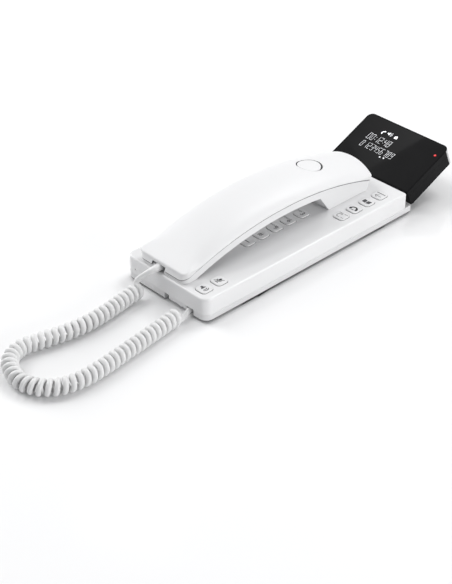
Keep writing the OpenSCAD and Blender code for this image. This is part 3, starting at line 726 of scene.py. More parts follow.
@dataclass(frozen=True)
class HandsetShape:
    """The arch of the handset's back, in millimetres from the base's near wall.

    Args:
        x: Its middle, across.
        half: Half of its width.
        near: Its near end, at the floor.
        far: Its far end, at the floor.
        floor: Height that it stands on.
        corner: Radius of the near corners under the lip.
        far_corner: Radius of the far corners.
        near_lean: Lean of the near end, as a slope.
        far_lean: Lean of the far end, as a slope.
        seam: Arc of the seam: where its top is, how high, and its radius.
        low_ridge: Arc of the ridge over the near part.
        high_ridge: Arc of the ridge over the far part.
        low_crown: How much higher the middle is than the sides, in the near part.
        high_crown: The same in the far part.
        far_crown: How much it grows towards the far end.
        lift: How much the near end is raised.
        blend: Height difference within which the two parts blend.
        least_round: Least radius of the shoulder.
        more_round: How much it may grow with the wall's height.
        low_wall: Height of the wall from which it grows.
        crown_grows: Where the near part's crown starts to grow, and over what length.
        lift_ends: Where the raised near end starts to come down, and over what length.
        far_grows: Where the far crown starts to grow, and over what length.
        round_grows: Where the shoulder starts to grow, and over what length.
        round_ends: Where it is back at its least.
        side_steps: Steps along a side.
        end_steps: Steps across an end.
        turn_steps: Steps round a corner.
    """

    x: float = -6.0
    half: float = 23.5
    near: float = 0.7
    far: float = 183.9
    floor: float = 19.3
    corner: float = 6.0
    far_corner: float = 2.0
    near_lean: float = math.tan(math.radians(20.0))
    far_lean: float = math.tan(math.radians(16.3))
    seam: Point = (100.5, 40.3, 270.81)
    low_ridge: Point = (110.1, 49.5, 246.56)
    high_ridge: Point = (91.7, 49.95, 367.7)
    low_crown: float = 2.2
    high_crown: float = 6.2
    far_crown: float = 1.5
    lift: float = 1.8
    blend: float = 4.0
    least_round: float = 0.5
    more_round: float = 5.5
    low_wall: float = 0.9
    crown_grows: Flat = (4.0, 26.0)
    lift_ends: Flat = (2.0, 24.0)
    far_grows: Flat = (140.0, 40.0)
    round_grows: Flat = (3.0, 16.0)
    round_ends: float = 186.0
    side_steps: int = 72
    end_steps: int = 20
    turn_steps: int = 8

    @staticmethod
    def arc(y: float, arc: Point) -> float:
        """Find the height of an arc at a distance from the near wall."""
        return arc[1] - arc[2] + math.sqrt(arc[2] ** 2 - (y - arc[0]) ** 2)

    def top(self, x: float, y: float) -> float:
        """Find the height of the back.

        Args:
            x: Distance across from the handset's middle.
            y: Distance from the near wall.

        Returns:
            The height, with the two crowns blended where they meet.
        """
        s = (x / self.half) ** 2
        a = (self.arc(y, self.low_ridge)
             + self.low_crown * (1 - s) * grown(y, self.crown_grows)
             + self.lift * (1 - grown(y, self.lift_ends)))
        b = self.arc(y, self.high_ridge) - (
            self.high_crown + self.far_crown * grown(y, self.far_grows)) * s
        h = max(self.blend - abs(a - b), 0.0) / self.blend
        return min(a, b) - h * h * self.blend / 4

    def lean(self, y: float, z: float) -> float:
        """Find where the leaning ends put a point that stands at y on the floor.

        Args:
            y: Its place at the floor.
            z: Its height.

        Returns:
            The new y.
        """
        mid = (self.near + self.far) / 2
        near = max(1 - (y - self.near) / (mid - self.near), 0.0)
        far = max((y - mid) / (self.far - mid), 0.0)
        return y + (z - self.floor) * (near * self.near_lean + far * self.far_lean)

    def loop(self, inset: float, corner: float = 3.5) -> list[Flat]:
        """Lay the outline of the plan, moved inwards.

        Args:
            inset: How far.
            corner: Radius of the near corners.

        Returns:
            Its points, going round from the right side's near end, always as many.
        """
        w = max(self.half - inset, 0.0)
        y0, y1 = self.near + inset, self.far - inset
        r = min(max(corner - inset, 0.0), w)
        q = min(max(self.far_corner - inset, 0.0), w)
        sides = (((w, y0 + r), (w, y1 - q), self.side_steps, (w - q, y1 - q), q),
                 ((w - q, y1), (q - w, y1), self.end_steps, (q - w, y1 - q), q),
                 ((-w, y1 - q), (-w, y0 + r), self.side_steps, (r - w, y0 + r), r),
                 ((r - w, y0), (w - r, y0), self.end_steps, (w - r, y0 + r), r))
        pts: list[Flat] = []
        for quarter, ((ax, ay), (bx, by), steps, (cx, cy), radius) in enumerate(sides):
            pts += [(ax + (bx - ax) * i / steps, ay + (by - ay) * i / steps)
                    for i in range(steps)]
            for i in range(self.turn_steps):
                a = math.pi / 2 * (quarter + i / self.turn_steps)
                pts.append((cx + radius * math.cos(a), cy + radius * math.sin(a)))
        return pts

    def shoulder(self, y: float) -> float:
        """Find the radius that rounds the back over into its wall.

        Args:
            y: Distance from the near wall.

        Returns:
            The radius.
        """
        wall = self.top(self.half, y) - self.arc(y, self.seam)
        more = min(max(wall - self.low_wall, 0.0), self.more_round)
        left = smooth((self.round_ends - y) / self.round_grows[1])
        return self.least_round + more * grown(y, self.round_grows) * left


@dataclass
class Handset:
    """The handset: the smooth back with its round cap, and the front shell under it.

    Args:
        shape: The arch of the back.
        cap_y: The cap's middle, from the near wall.
        cap_r: Its radius.
        cap_turn: Where its gap is widest, in degrees.
        cap_gap: Width of that gap.
        cap_sides: How much wider it is there, and how much on the other side.
        cap_sunk: How far the cap lies under the back.
        lip: How far the near end's lip stands out.
        lip_long: How far from the near end it reaches.
        lip_high: How far under the skin's edge its rim lies, and how much more at the end.
        flare: How much wider than high a shoulder is, for each millimetre of its radius.
        thick: Thickness of the back.
        relief: Lowest and highest corner of the plug's way out.
        heights: Least height over the seam of the wall's foot, the lip's rim and the skin.
        rim: Inset and height over the seam of each loop of the back's rim.
        wall: Share of the wall's height of each of its loops.
        lipped_wall: Share of the lip and of the height over its rim of each loop above it.
        over: Inset of each loop over the shoulders.
        under: Inset of each loop of the underside, and of the height that it hangs from.
        seam_strip: Inset and height over the seam of each loop of the strip painted dark as the
            seam's shade.
        cap_rings: Share of the cap's radius and drop of each of its rings.
        front_edge: Rounding of the front shell's edges, in metres.
    """

    shape: HandsetShape = HandsetShape()
    cap_y: float = 144.2
    cap_r: float = 9.4
    cap_turn: float = 44.0
    cap_gap: float = 0.75
    cap_sides: Flat = (1.3, 0.9)
    cap_sunk: float = 0.05
    lip: float = 0.6
    lip_long: float = 8.0
    lip_high: Flat = (0.35, 0.25)
    flare: float = 0.3
    thick: float = 1.9
    relief: tuple[Point, Point] = ((-15.0, -1.0, 18.0), (-2.0, 8.6, 24.5))
    heights: Point = (0.5, 0.52, 0.6)
    rim: tuple[Flat, ...] = ((1.6, 1.6), (1.6, 0.45), (0.12, 0.4))
    wall: tuple[float, ...] = (0.0, 0.35, 0.7, 1.0)
    lipped_wall: tuple[Flat, ...] = ((0.9, 0.0), (1.0, 0.1), (1.0, 1.0))
    over: tuple[float, ...] = (0.05, 0.15, 0.3, 0.55, 0.9, 1.3, 1.8, 2.4, 3.2, 4.4, 6.0, 8.0,
                               10.5, 13.0, 16.0, 19.0, 22.0, 24.0)
    under: tuple[Flat, ...] = ((3.0, 6.0), (6.0, 30.0), (10.0, 30.0), (14.0, 30.0),
                               (18.0, 30.0), (22.0, 30.0), (24.0, 30.0))
    seam_strip: tuple[Flat, ...] = ((0.5, -0.5), (0.5, 0.8), (1.2, 0.8), (1.2, -0.5))
    cap_rings: tuple[Flat, ...] = ((0.0, 0.0), (0.3, 0.0), (0.6, 0.0), (0.85, 0.0),
                                   (0.95, 0.03), (0.985, 0.1), (1.0, 0.3), (1.0, 1.0))
    front_edge: float = 0.0008

    def point(self, x: float, y0: float, z: float) -> Vector:
        """Place a point of the skin: across, along at the floor, and its height."""
        return part(self.shape.x + x, self.shape.lean(y0, z), z)

    def lipped(self, x: float, y0: float, z: float, push: float = 1.0) -> Vector:
        """Place a point of the skin, pushed out by the near end's lip."""
        out = -self.lip * push * self.nearness(y0) * MM
        return self.point(x, y0, z) + Vector((0.0, out, 0.0))

    def surface(self, x: float, y0: float, inset: float) -> float:
        """Find the height of the skin's outside at a place in the plan.

        Args:
            x: Across.
            y0: Along, at the floor.
            inset: Distance in from the outline.

        Returns:
            The height.
        """
        z = self.shape.floor + 15.0
        for _ in range(ROUNDS):
            y = self.shape.lean(y0, z)
            z = self.shape.top(x, y)
        r = self.shape.shoulder(y)
        wide = r * (1.0 + self.flare * r)
        share = 1 - min(inset / wide, 1.0)
        return z - r * (1 - math.sqrt(max(1 - share * share, 0.0)))

    def seam_z(self, y0: float) -> float:
        """Find the height of the seam under a place of the outline.

        Args:
            y0: Along, at the floor.

        Returns:
            The height.
        """
        z = 25.0
        for _ in range(ROUNDS):
            z = self.shape.arc(self.shape.lean(y0, z), self.shape.seam)
        return z

    def nearness(self, y0: float) -> float:
        """Tell how much a place belongs to the near end's lip: 1 at the end, 0 past its corners."""
        return 1 - smooth((y0 - self.shape.near) / self.lip_long)

    def rim_z(self, x: float, y0: float) -> float:
        """Find the height at which the wall ends under the lip."""
        edge = self.surface(x, y0, 0.0) - self.lip_high[0] - self.lip_high[1] * self.nearness(y0)
        return max(edge, self.seam_z(y0) + self.heights[1])

    def back_rows(self) -> list[list[Vector]]:
        """Lay the outside of the back, from its rim over the shoulders to the ridge.

        Returns:
            Its loops of points.
        """
        shape, corner = self.shape, self.shape.corner
        rows = [[self.point(x, y, self.seam_z(y) + rise) for x, y in shape.loop(inset, corner)]
                for inset, rise in self.rim]
        for share in self.wall:
            row = []
            for x, y in shape.loop(0.0, corner):
                low, high = self.seam_z(y) + self.heights[0], self.rim_z(x, y)
                row.append(self.point(x, y, low + max(high - low, 0.01) * share))
            rows.append(row)
        for push, share in self.lipped_wall:
            row = []
            for x, y in shape.loop(0.0):
                low, high = self.rim_z(x, y), self.surface(x, y, 0.0)
                row.append(self.lipped(x, y, low + max(high - low, 0.02) * share, push))
            rows.append(row)
        for inset in self.over:
            row = []
            for x, y in shape.loop(inset):
                least = self.seam_z(y) + self.heights[2]
                row.append(self.lipped(x, y, max(self.surface(x, y, inset), least)))
            rows.append(row)
        return rows

    def back(self) -> None:
        """Build the back as one skin of loops, with its underside and its hole for the cap."""
        bm = bmesh.new()
        outside = [[bm.verts.new(p) for p in row] for row in self.back_rows()]
        stitch(bm, outside)
        inside = [[bm.verts.new(self.point(x, y, self.surface(x, y, depth) - self.thick))
                   for x, y in self.shape.loop(inset)] for inset, depth in self.under]
        stitch(bm, [outside[0], *inside], inward=True)
        bmesh.ops.remove_doubles(bm, verts=bm.verts, dist=MERGE)
        obj = mesh_object("handset_shell", bm, Finishes.HAND, 50.0)
        # The cap's seat and the plug's way out take the tools' dark finish on their walls: painted
        # shade in these recesses.
        cut_away(obj, (self.bore_tool(), self.relief_tool()), cuts_take_tool_finish=True)
        obj.data.set_sharp_from_angle(angle=math.radians(50.0))
        seat(obj, "handset", Finishes.HAND, "handset_back")

    def paint_seam_shade(self) -> None:
        """Build the thin dark strip in the seam between the two shells: painted shade for the gap.
        """
        bm = bmesh.new()
        rows = [[bm.verts.new(self.point(x, y, self.seam_z(y) + rise))
                 for x, y in self.shape.loop(inset, self.shape.corner)]
                for inset, rise in self.seam_strip]
        stitch(bm, [*rows, rows[0]])
        obj = mesh_object("handset_seam_shade", bm, Finishes.PAINTED_SEAM_SHADE, 60.0)
        cut_away(obj, (self.relief_tool(),))
        seat(obj, "handset", Finishes.PAINTED_SEAM_SHADE)

    def relief_tool(self) -> bpy.types.Object:
        """Build the block that clears the plug's way out.

        Returns:
            The block.
        """
        box = bmesh.new()
        low, high = (part(*corner) for corner in self.relief)
        bmesh.ops.create_cube(box, size=1.0)
        for v in box.verts:
            v.co = Vector([low[i] if v.co[i] < 0 else high[i] for i in range(3)])
        return mesh_object("relief_tool", box, Finishes.PAINTED_SEAM_SHADE)

    def bore_tool(self, sides: int = 96, clear: float = 0.3) -> bpy.types.Object:
        """Build the round tool that cuts the seat of the cap.

        Args:
            sides: Sides of the tool.
            clear: Gap round the cap, in millimetres.

        Returns:
            The tool.
        """
        bm = bmesh.new()
        middle = part(self.shape.x, self.cap_y, 45.0)
        r = (self.cap_r + clear) * MM
        rings = [[bm.verts.new(middle + Vector((math.cos(a) * r, math.sin(a) * r, z)))
                  for a in around(sides)] for z in (-0.0055, 0.006)]
        stitch(bm, rings)
        for ring in rings:
            bm.faces.new(ring)
        return mesh_object("bore_tool", bm, Finishes.PAINTED_SEAM_SHADE)

    def cap(self, steps: int = 72) -> None:
        """Build the round cap, which follows the back and leaves a wider gap at two sides.

        Args:
            steps: Points round it.
        """
        bm = bmesh.new()
        rows = []
        for share, drop in self.cap_rings:
            row = []
            for a in around(steps):
                along = math.cos(a - math.radians(self.cap_turn))
                gap = self.cap_gap * along * along * self.cap_sides[0 if along > 0 else 1]
                r = (self.cap_r + 0.05 - gap) * share
                x, y = r * math.cos(a), self.cap_y + r * math.sin(a)
                z = self.shape.top(x, y) - drop - self.cap_sunk
                row.append(bm.verts.new(part(self.shape.x + x, y, z)))
            rows.append(row)
        stitch(bm, rows)
        bm.faces.new(rows[-1])
        bmesh.ops.remove_doubles(bm, verts=bm.verts, dist=MERGE / 2)
        obj = mesh_object("handset_button", bm, Finishes.HAND, 60.0)
        seat(obj, "handset", Finishes.HAND, "handset_cap")

    def build(self) -> None:
        """Build the handset's pieces."""
        self.back()
        self.paint_seam_shade()
        self.cap()
        soften("handset_front", Finishes.HAND, self.front_edge)


@dataclass
class Ink:
    """Thin marks on a flat face: strokes, dots and words, in millimetres from its middle.

    Args:
        name: Name of the piece.
        origin: The face's middle, in metres.
        up: Direction of the top of the letters.
        finish: The ink.
        body: The body that it rides on.
        grow: Scale of the marks.
        bm: The marks so far.
    """

    name: str
    origin: Vector
    up: Vector
    finish: Finish
    body: str
    grow: float = 1.0
    bm: bmesh.types.BMesh = field(default_factory=bmesh.new)

    def at(self, x: float, y: float) -> Vector:
        """Place a point of the face."""
        return self.origin + (ACROSS * x + self.up * y) * self.grow * MM

    def area(self, pts: Sequence[Flat]) -> None:
        """Lay a filled shape with these corners."""
        self.bm.faces.new([self.bm.verts.new(self.at(*p)) for p in pts])

    def disc(self, x: float, y: float, r: float, sides: int = 10) -> None:
        """Lay a dot of radius r."""
        self.area([(x + r * math.cos(a), y + r * math.sin(a)) for a in around(sides)])

    def stroke(self, pts: Sequence[Flat], width: float) -> None:
        """Lay a line of one width with round joints.

        Args:
            pts: Its corners.
            width: Its width.
        """
        for (x0, y0), (x1, y1) in zip(pts, pts[1:]):
            d = math.hypot(x1 - x0, y1 - y0) or 1.0
            nx, ny = -(y1 - y0) / d * width / 2, (x1 - x0) / d * width / 2
            self.area([(x0 + nx, y0 + ny), (x0 - nx, y0 - ny), (x1 - nx, y1 - ny),
                       (x1 + nx, y1 + ny)])
        for x, y in pts:
            self.disc(x, y, width / 2, 8)

    def arc(self, x: float, y: float, r: float, start: float, stop: float, width: float,
            steps: int = 12) -> None:
        """Lay a part of a circle round x and y, from one angle in degrees to another."""
        turns = [math.radians(start + (stop - start) * k / steps) for k in range(steps + 1)]
        self.stroke([(x + r * math.cos(a), y + r * math.sin(a)) for a in turns], width)

    def word(self, body: str, x: float, y: float, size: float) -> None:
        """Lay plain letters or digits.

        Args:
            body: The letters.
            x: Their middle, across.
            y: Their foot, up.
            size: Their size.
        """
        data = bpy.data.curves.new("word", "FONT")
        data.body = body
        data.size = size
        data.align_x = "CENTER"
        data.resolution_u = 3
        obj = in_scene("word", data)
        graph = bpy.context.evaluated_depsgraph_get()
        made = bpy.data.meshes.new_from_object(obj.evaluated_get(graph))
        verts = [self.bm.verts.new(self.at(x + v.co.x, y + v.co.y)) for v in made.vertices]
        for poly in made.polygons:
            self.bm.faces.new([verts[i] for i in poly.vertices])
        bpy.data.objects.remove(obj)
        bpy.data.curves.remove(data)
        bpy.data.meshes.remove(made)

    def build(self) -> None:
        """Turn the marks into a piece that faces out."""
        facing = ACROSS.cross(self.up)
        self.bm.normal_update()
        for face in self.bm.faces:
            if face.normal.dot(facing) < 0:
                face.normal_flip()
        seat(flat_object(self.name, self.bm, self.finish), self.body, self.finish)


def lay_speaker(ink: Ink) -> None:
    """Draw a loudspeaker with two waves.

    Args:
        ink: The key's marks.
    """
    ink.area([(-2.0, -0.55), (-1.2, -0.55), (-0.2, -1.4), (-0.2, 1.4), (-1.2, 0.55),
              (-2.0, 0.55)])
    for r in (1.0, 1.8):
        ink.arc(0.0, 0.0, r, -50, 50, 0.32)


def lay_mute(ink: Ink) -> None:
    """Draw a crossed microphone.

    Args:
        ink: The key's marks.
    """
    ink.stroke([(0, 0.2), (0, 1.1)], 1.0)
    ink.arc(0.0, 0.3, 1.1, 180, 360, 0.3)
    ink.stroke([(0, -0.8), (0, -1.6)], 0.3)
    ink.stroke([(-0.8, -1.6), (0.8, -1.6)], 0.3)
    ink.stroke([(-1.7, -1.3), (1.7, 1.5)], 0.32)


def lay_menu(ink: Ink) -> None:
    """Draw a thin curved arrow between short lines.

    Args:
        ink: The key's marks.
    """
    ink.arc(-0.6, -0.4, 1.3, 60, 300, 0.26)
    for x0, x1, y in ((0.6, 2.6, 1.7), (-2.4, -0.4, 1.7), (0.9, 2.2, -1.4)):
        ink.stroke([(x0, y), (x1, y)], 0.24)


def lay_call(ink: Ink) -> None:
    """Draw a small handset with a call arc.

    Args:
        ink: The key's marks.
    """
    ink.arc(0.0, -0.6, 1.7, 25, 155, 0.7)
    for x in (-1.6, 1.6):
        ink.stroke([(x, -0.2), (x, -0.8)], 1.1)
    ink.stroke([(-0.6, -1.2), (0.6, -1.2)], 0.4)


def lay_book(ink: Ink) -> None:
    """Draw a small open book."""
    ink.area([(-2.1, -1.0), (-0.2, -1.4), (-0.2, 0.9), (-2.1, 1.3)])
    ink.area([(0.2, -1.4), (2.1, -1.0), (2.1, 1.3), (0.2, 0.9)])


def lay_back(ink: Ink) -> None:
    """Draw a line of short strokes over an arrow.

    Args:
        ink: The key's marks.
    """
    for x in (-2.3, -1.5, -0.7, 0.1, 0.9, 1.7):
        ink.stroke([(x, 1.5), (x + 0.5, 1.5)], 0.42)
    ink.stroke([(-0.2, 0.2), (-1.6, -0.9), (-0.2, -2.0)], 0.26)
    ink.stroke([(-1.6, -0.9), (1.6, -0.9)], 0.26)


@dataclass(frozen=True)
class KeyPlace:
    """One key.

    Args:
        node: Its CAD node.
        x: Its middle, across.
        y: Its middle, from the base's near wall.
        digit: The digit or sign on it.
        letters: The letters beside its digit.
        drawing: The drawing on it.
    """

    node: str
    x: float
    y: float
    digit: str = ""
    letters: str = ""
    drawing: Optional[Callable[[Ink], None]] = None


@dataclass
class Keys:
    """All the keys, as soft-edged caps with print, in millimetres from the base's near wall.

    Args:
        side: Width of a key.
        corner: Radius of its corners.
        top: Height of its top.
        painted_shade_top: Height in metres up to which its sides are painted dark as shade.
        grid: Where the first number key is, and the steps to the next, across and along.
        column: Where the other keys are, across.
        profile: Inset and height of each loop, from the flange to the slightly dished top.
        drawing_grow: Scale of a drawing.
        digit_grow: Scale of a digit.
        digit: Where a digit beside letters stands, across and up, and its size.
        letters: The same of the letters.
        bar: Half of the length of the plain bar, and its width.
        print_gap: Height of the print over a key's top.
    """

    side: float = 9.6
    corner: float = 2.6
    top: float = 20.0
    painted_shade_top: float = 0.0191
    grid: tuple[float, float, float, float] = (-21.0, 69.9, 14.0, 13.5)
    column: float = 28.6
    profile: tuple[Flat, ...] = (
        (-0.8, 16.1), (-0.8, 17.0), (-0.24, 17.0), (-0.24, 18.5), (0.02, 18.55), (0.02, 19.2),
        (0.0, 19.55), (0.06, 19.78), (0.2, 19.93), (0.42, 20.0), (0.8, 19.99), (2.4, 19.95))
    drawing_grow: float = 1.6
    digit_grow: float = 1.35
    digit: Point = (0.9, -1.5, 4.4)
    letters: Point = (-2.2, 0.3, 1.7)
    bar: Flat = (1.5, 0.5)
    print_gap: float = 0.005

    def places(self) -> list[KeyPlace]:
        """List every key.

        Returns:
            The keys, with their places.
        """
        printed = (("flash", "", ""), ("redial", "", ""), ("volume", "", ""), ("star", "*", ""),
                   ("0", "0", "+"), ("hash", "#", ""), ("7", "7", "PQRS"), ("8", "8", "TUV"),
                   ("9", "9", "WXYZ"), ("4", "4", "GHI"), ("5", "5", "JKL"), ("6", "6", "MNO"),
                   ("1", "1", ""), ("2", "2", "ABC"), ("3", "3", "DEF"))
        drawn = (("menu", 142.0, lay_menu), ("call", 155.5, lay_call), ("book", 169.0, lay_book),
                 ("back", 182.5, lay_back), ("speaker", 9.3, lay_speaker),
                 ("mute", 22.8, lay_mute))
        x, y, across, along = self.grid
        return ([KeyPlace(f"key_{n}", x + across * (i % 3), y + along * (i // 3), d, s)
                 for i, (n, d, s) in enumerate(printed)]
                + [KeyPlace(f"key_{n}", self.column, v, drawing=draw) for n, v, draw in drawn])

    def outline(self, inset: float, turn: int = 8) -> list[Flat]:
        """Lay the rounded square of a key, moved inwards.

        Args:
            inset: How far.
            turn: Steps round a corner.

        Returns:
            Its points.
        """
        h, r = self.side / 2 - inset, max(self.corner - inset, 0.2)
        pts = []
        for quarter in range(4):
            cx = (h - r) * (1 if quarter in (0, 3) else -1)
            cy = (h - r) * (1 if quarter in (0, 1) else -1)
            for i in range(turn + 1):
                a = math.pi / 2 * (quarter + i / turn)
                pts.append((cx + r * math.cos(a), cy + r * math.sin(a)))
        return pts

    def cap(self, key: KeyPlace, body: str) -> None:
        """Build one key with its flange and rounded rim, its lower sides painted dark as shade.

        Args:
            key: The key.
            body: The body that it rides on.
        """
        bm = bmesh.new()
        rows = [[bm.verts.new(part(key.x + x, key.y + y, z)) for x, y in self.outline(inset)]
                for inset, z in self.profile]
        stitch(bm, rows)
        bm.faces.new(rows[0])
        bm.faces.new(rows[-1])
        obj = mesh_object(f"{key.node}_cap", bm, Finishes.KEY)
        # Faces below the cover's top are painted near-black: painted shade in the gap round the
        # key.
        obj.data.materials.append(material(Finishes.PAINTED_GAP_SHADE))
        for face in obj.data.polygons:
            if face.center.z < self.painted_shade_top:
                face.material_index = 1
        seat(obj, body, Finishes.KEY, key.node)

    def mark(self, key: KeyPlace, body: str) -> None:
        """Print a key.

        Args:
            key: The key.
            body: The body that it rides on.
        """
        place = part(key.x, key.y, self.top + self.print_gap)
        ink = Ink(f"{key.node}_print", place, ALONG, Finishes.INK, body,
                  self.drawing_grow if key.drawing else self.digit_grow)
        if key.drawing is not None:
            key.drawing(ink)
        elif key.digit:
            beside, foot, size = self.digit
            ink.word(key.digit, beside if key.letters else 0.0, foot, size)
            if key.letters:
                ink.word(key.letters, *self.letters)
        else:
            half, wide = self.bar
            ink.stroke([(-half, 0.0), (half, 0.0)], wide)
        ink.build()

    def build(self) -> None:
        """Build and print every key."""
        for key in self.places():
            body = frame["nodes"][key.node]["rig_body"]
            self.cap(key, body)
            self.mark(key, body)


@dataclass(frozen=True)
class DigitRow:
    """A row of slanted digits of thin segments, in millimetres.

    Args:
        low: Height of their feet.
        wide: Width of a digit.
        half: Half of its height.
        step: From one digit to the next.
        slant: How far each half leans.
        thin: Width of a segment.
    """

    low: float = 21.1
    wide: float = 1.75
    half: float = 2.75
    step: float = 3.1
    slant: float = 0.35
    thin: float = 0.2

    def lay(self, ink: Ink, body: str, x: float) -> None:
        """Lay some digits.

        Args:
            ink: The marks.
            body: The digits.
            x: Where the first one starts.
        """
        ends = {"a": ((0, 2), (1, 2)), "b": ((1, 2), (1, 1)), "c": ((1, 1), (1, 0)),
                "d": ((0, 0), (1, 0)), "e": ((0, 1), (0, 0)), "f": ((0, 2), (0, 1)),
                "g": ((0, 1), (1, 1))}
        shown = {"0": "abcdef", "1": "bc", "2": "abged", "3": "abgcd", "4": "fgbc",
                 "5": "afgcd", "6": "afgedc", "7": "abc", "8": "abcdefg", "9": "abcdfg"}
        for i, digit in enumerate(body):
            for segment in shown[digit]:
                ink.stroke([(x + i * self.step + a * self.wide + b * self.slant,
                             self.low + b * self.half) for a, b in ends[segment]], self.thin)


@dataclass
class Display:
    """The display's glossy slab with its marks, and its lamp.

    Args:
        tilt: Slope of its face.
        y0: Its hinge edge, from the base's near wall, in millimetres.
        z0: Height of that edge.
        edge: Rounding of its edges, in metres.
        number: The row of digits.
        timer: The row of the call timer.
        lamp_place: The lamp's middle, across and up the slope.
        lamp_rings: Radius and height of each ring of the lamp.
        highlight_slope: Least and most share of a face's normal up the slope, for the painted
            highlight on the far right corner.
        highlight_x: Least share of it to the right.
    """

    tilt: float = math.radians(23.5)
    y0: float = 199.93
    z0: float = 17.86
    edge: float = 0.0004
    number: DigitRow = DigitRow()
    timer: DigitRow = DigitRow(29.3, 2.1, 2.9, 3.35)
    lamp_place: Flat = (34.0, 40.3)
    lamp_rings: tuple[Flat, ...] = ((0.95, 0.0), (0.9, 0.05), (0.6, 0.1), (0.25, 0.12))
    highlight_slope: Flat = (0.15, 0.8)
    highlight_x: float = 0.3

    def at(self, x: float, u: float, w: float = 0.0) -> Vector:
        """Place a point: across, up the slope from the hinge edge, and out of the face."""
        c, s = math.cos(self.tilt), math.sin(self.tilt)
        return part(x, self.y0 + u * c - w * s, self.z0 + u * s + w * c)

    def marks(self, up: Vector) -> None:
        """Lay the icons, the call timer and the line of digits.

        Args:
            up: Direction up the slope.
        """
        ink = Ink("display_marks", self.at(0, 0, 0.015), up, Finishes.GLYPH, "display")
        ink.arc(-15.4, 39.2, 1.5, 100, 200, 0.7)
        ink.stroke([(-15.6, 40.9), (-14.9, 41.1)], 1.0)
        ink.stroke([(-16.9, 38.9), (-16.6, 38.4)], 1.0)
        ink.area([(-12.4, 40.2), (-11.4, 40.2), (-10.2, 39.2), (-10.2, 42.4), (-11.4, 41.4),
                  (-12.4, 41.4)])
        for r in (1.2, 2.2):
            ink.arc(-10.2, 40.8, r, -50, 50, 0.3)
        ink.area([(-5.2, 38.8), (-2.4, 38.8), (-2.4, 40.6), (-5.2, 40.6)])
        ink.arc(-3.8, 40.5, 0.95, 0, 180, 0.4)
        for body, x in (("00", -25.0), ("12", -17.0), ("48", -9.0)):
            self.timer.lay(ink, body, x)
        for x in (-17.9, -9.9):
            ink.disc(x + 0.4, 31.0, 0.24)
            ink.disc(x + 0.7, 33.4, 0.24)
        for body, x in (("0", -24.9), ("123456", -20.9), ("789", -1.9)):
            self.number.lay(ink, body, x)
        ink.area([(-3.2, 18.6), (-1.6, 18.6), (-2.4, 19.9)])
        ink.area([(0.2, 19.9), (1.8, 19.9), (1.0, 18.6)])
        ink.build()

    def lamp(self, sides: int = 24) -> None:
        """Build the lamp's small domed window in the front.

        Args:
            sides: Points round it.
        """
        x, u = self.lamp_place
        bm = bmesh.new()
        rows = [[bm.verts.new(self.at(x + r * math.cos(a), u + r * math.sin(a), w))
                 for a in around(sides)] for r, w in self.lamp_rings]
        stitch(bm, rows)
        bm.faces.new(rows[-1])
        seat(mesh_object("lamp_window", bm, Finishes.LAMP), "display", Finishes.LAMP)

    def build(self) -> None:
        """Build the display's pieces, with a higher gloss and a painted highlight on its far right
        corner.
        """
        up = (self.at(0, 1) - self.at(0, 0)).normalized()
        least, most = self.highlight_slope
        for node in ("display_frame", "display_back"):
            skin = soften(node, Finishes.BLACK, self.edge)
            # Far right corner faces take the grey, fully coated finish: a painted highlight over a
            # real higher gloss.
            skin.data.materials.append(material(Finishes.GLOSS_AND_PAINTED_HIGHLIGHT))
            for face in skin.data.polygons:
                if least < face.normal.dot(up) < most and face.normal.x > self.highlight_x:
                    face.material_index = 1
        self.marks(up)
        self.lamp()


@dataclass
class Base:
    """The base's covers with soft edges, in metres.

    Args:
        edge: Rounding of their edges.
        foot: Rounding of the lowest outer edge.
        foot_shadow_high: How high the painted contact shadow along the foot reaches.
        foot_shadow_deep: How far in it reaches.
        foot_shadow_slope: Least and most share of its faces' normals upwards.
    """

    edge: float = 0.0005
    foot: Foot = Foot()
    foot_shadow_high: float = 0.0013
    foot_shadow_deep: float = 0.008
    foot_shadow_slope: Flat = (-0.99, -0.1)

    def build(self) -> None:
        """Round the covers' hard edges, and paint a dark shadow line along the foot."""
        soften("top_housing", Finishes.COVER, self.edge)
        # The lower tray takes a darker copy of the cover's white: painted shade on that strip.
        tray = soften("bottom_housing", Finishes.SHADED_TRAY, self.edge, self.foot).data
        # The lowest rounding's faces are painted near-black: a painted contact shadow along the
        # foot.
        tray.materials.append(material(Finishes.PAINTED_FOOT_SHADOW))
        low = min(v.co.z for v in tray.vertices)
        side = max(abs(v.co.x) for v in tray.vertices)
        near, far = min(v.co.y for v in tray.vertices), max(v.co.y for v in tray.vertices)
        for face in tray.polygons:
            x, y, z = face.center
            inward = min(side - abs(x), y - near, far - y)
            sloped = self.foot_shadow_slope[0] < face.normal.z < self.foot_shadow_slope[1]
            if sloped and z < low + self.foot_shadow_high and inward < self.foot_shadow_deep:
                face.material_index = 1


@dataclass(frozen=True)
class Lamp:
    """A soft square light.

    Args:
        name: Its name.
        place: Where it hangs.
        size: Its width in metres.
        watts: Its power.
        aim: What it looks at.
    """

    name: str
    place: Point
    size: float
    watts: float
    aim: Point = (0.0, 0.0, 0.0)

    def build(self) -> None:
        """Hang the light."""
        data = bpy.data.lights.new(self.name, "AREA")
        data.shape = "SQUARE"
        data.size = self.size
        data.energy = self.watts
        obj = in_scene(self.name, data)
        obj.location = self.place
        turn = (Vector(self.aim) - Vector(self.place)).to_track_quat("-Z", "Y")
        obj.rotation_euler = turn.to_euler()
        log.info("light %s", self.name)


